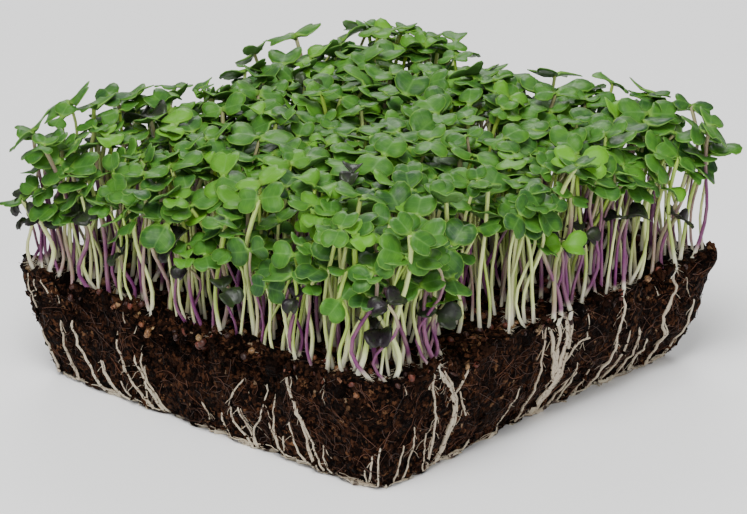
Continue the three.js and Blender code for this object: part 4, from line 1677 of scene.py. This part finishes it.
def felt_section(side, along):
    """Points of the dish from its middle below, round the rim and into the soil."""
    lap, cover = felt_rim(side, along)
    torn = 0.35 * MM * rough(Vector((along, side, 1)), 1.2 * MM) - 1.4 * MM * (1 - cover)
    foot, normal = on_wall(side, along, 0.4 * MM)
    foot.z = 0
    below = [foot * 0.5, foot * 0.9, foot - normal * (0.6 * MM)]
    below.append(foot + normal * (0.25 * MM + torn) + Vector((0, 0, 0.15 * MM)))
    rim = ((lap * 0.55, 0.42 * MM + torn), (lap, 0.16 * MM + torn), (lap + 0.3 * MM, -1.3 * MM))
    return below + [on_wall(side, along, height, proud)[0] for height, proud in rim]


print("points in a section:", len(felt_section(0, 0.0)))

# %% The felt
def felt_mesh():
    on_side = RIM_POINTS // 4
    sections = [
        felt_section(side, (2 * (k + 0.5) / on_side - 1) * wall_at(0))
        for side, k in product(range(4), range(on_side))
    ]
    count, depth = len(sections), len(sections[0])
    points = [point for section in sections for point in section]
    points += [Vector((0, 0, 0)), Vector((0, 0, FELT_MIDDLE))]
    faces = []
    for k in range(count):
        a, b = k * depth, (k + 1) % count * depth
        faces += [(a + r, b + r, b + r + 1, a + r + 1) for r in range(depth - 1)]
        faces.append((count * depth, b, a))
        faces.append((count * depth + 1, a + depth - 1, b + depth - 1))
    return mesh_of("felt", points, faces)


felt = felt_mesh()
felt.materials.append(finishes["felt"])
felt_piece = placed("root_felt", felt)
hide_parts("roots")
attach(felt_piece, "root")
print("felt:", len(felt.polygons), "faces")

# %% [markdown]
# Thin roots run round in the felt's patches, and others cross the underside.

# %% Roots in the felt
RIM_STRANDS, MAT_STRANDS = 420, 260
STRAND_STEP = 1.5 * MM


def rim_strand():
    """A thin root that lies in the felt's rim, where the felt covers the soil."""
    side, middle = chance.randrange(4), between(-52, 52) * MM
    length, rise = between(3, 12) * MM, between(-0.5, 0.5) * MM
    lap, cover = felt_rim(side, middle)
    height = between(0.4, 1.0) * MM + max(0.0, lap) * between(0.0, 0.9)
    if chance.random() > 0.7 * cover:
        return
    last = max(3, round(length / STRAND_STEP)) - 1
    line = []
    for k in range(last + 1):
        t = k / last
        z = max(0.35 * MM, height + rise * t + 0.3 * MM * math.sin(5 * t + middle * 900))
        line.append(on_wall(side, middle + length * (t - 0.5), z, between(0.1, 0.5) * MM)[0])
    thin = between(0.08, 0.2) * MM
    widths = [thin * (0.5 + math.sin(math.pi * (0.1 + 0.8 * k / last)) * 0.6) for k in range(last + 1)]
    roots.line(line, widths, between(0, 0.7))


def mat_strand():
    """A root that wanders over the underside."""
    heading, place = between(0, 2 * math.pi), Vector((between(-50, 50), between(-50, 50), 0)) * MM
    line = []
    for _ in range(9):
        heading += chance.gauss(0, 0.35)
        place = place + Vector((math.cos(heading), math.sin(heading), 0)) * 3 * MM
        if max(abs(place.x), abs(place.y)) > 53 * MM:
            break
        line.append(place + Vector((0, 0, 0.25 * MM)))
    if len(line) > 2:
        roots.line(line, [0.2 * MM] * len(line), between(0, 0.7))


for _ in range(RIM_STRANDS):
    rim_strand()
for _ in range(MAT_STRANDS):
    mat_strand()
print("root points with the felt's:", len(roots.points))

# %% [markdown]
# A sprout's collar wears a white fuzz of root hairs just where it leaves the soil. Only the
# sprouts near the edge show it.

# %% Collar fuzz
FUZZ_WIDTH = 0.055 * MM


def collar_fuzz(foot):
    for _ in range(chance.choice((3, 8, 26))):
        angle = between(0, 2 * math.pi)
        start = foot + Vector((math.cos(angle) * 0.5, math.sin(angle) * 0.5, between(-0.6, 1.2))) * MM
        direction = Vector((math.cos(angle), math.sin(angle), between(-0.7, 0.4))).normalized()
        hair(start, direction, between(0.5, 1.6) * MM, FUZZ_WIDTH, 0.0)


for sprout in sprouts:
    foot = sprout["foot"]
    if max(abs(foot.x), abs(foot.y)) >= SLAB_SIDE / 2 - 9 * MM:
        collar_fuzz(foot)
print("hair points:", len(hairs.points))

# %% [markdown]
# The same lines make fibres of coir, which lie about on the sides and the top and stick out a
# little at their ends.

# %% Fibres of coir
SIDE_FIBRES, TOP_FIBRES = 1100, 500
FIBRE_SHARES = [k / 4 - 0.5 for k in range(5)]  # along a fibre, from its middle


def side_fibre():
    side, along, height = chance.randrange(4), between(-58, 58) * MM, between(2, 28.5) * MM
    length, heading = between(2.5, 9) * MM, chance.gauss(0, 0.9)
    bow, lift = between(-0.5, 0.5), between(0.0, 0.9) * MM
    line = []
    for t in FIBRE_SHARES:
        turn = heading + bow * t * 2
        a, z = along + math.cos(turn) * length * t, height + math.sin(turn) * length * t
        z = min(max(z, 1.5 * MM), SOIL_TOP - 0.3 * MM)
        line.append(on_wall(side, a, z, 0.1 * MM + lift * abs(2 * t) ** 3)[0])
    widths = [between(0.05, 0.11) * MM * (1 - 0.5 * abs(t)) for t in FIBRE_SHARES]
    fibres.line(line, widths, chance.random() ** 0.5)


def top_fibre():
    spot = Vector((between(-58, 58), between(-58, 58), 0)) * MM
    heading, length, lift = between(0, 2 * math.pi), between(3, 8) * MM, between(0.2, 1.4) * MM
    line = []
    for t in FIBRE_SHARES:
        x, y = spot.x + math.cos(heading + t) * length * t, spot.y + math.sin(heading + t) * length * t
        p = Vector((x, y, SOIL_TOP))
        p.x, p.y = (max(-60 * MM, min(60 * MM, c)) for c in (p.x, p.y))
        line.append(p - Vector((0, 0, crumble(p) - 0.1 * MM - lift * abs(2 * t) ** 2)))
    fibres.line(line, [between(0.05, 0.12) * MM] * len(line), chance.random())


for _ in range(SIDE_FIBRES):
    side_fibre()
for _ in range(TOP_FIBRES):
    top_fibre()
print("fibre points:", len(fibres.points))

# %% [markdown]
# All lines are there, so the tree can run its section along them, one piece for each bundle.

# %% Roots, hairs and fibres as pieces
for name, strands, finish, sides, slot, node in (
    ("side_roots", roots, finishes["root"], 6, "root", "roots"),
    ("root_hairs", hairs, finishes["root"], 3, "root", "roots"),
    ("coir_fibres", fibres, finishes["fibre"], 3, "soil", "soil"),
):
    piece = grown(name, strands.mesh(name), strand_tree(name, finish), Sides=sides, Thickness=1.0)
    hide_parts(node)
    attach(piece, "root")
    print(name, triangles(piece), "triangles")

# %% [markdown]
# ## The end
#
# The patterns that the node trees copied from are taken out, because they aren't part of the
# slab. The boxes of the solid model and of the fine one are printed side by side. The fine
# model must not be bigger than the solid one by more than a leaf's breadth.

# %% Boxes and finish
for patterns in (pair_patterns, crumb_patterns, husk_patterns):
    for pattern in list(patterns.objects):
        bpy.data.objects.remove(pattern)
    bpy.data.collections.remove(patterns)
fine_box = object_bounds()
sizes = {
    "solid": [[float(c) for c in corner] for corner in solid_box],
    "fine": [[float(c) for c in corner] for corner in fine_box],
}
print({name: [[round(c / MM, 1) for c in corner] for corner in box] for name, box in sizes.items()})
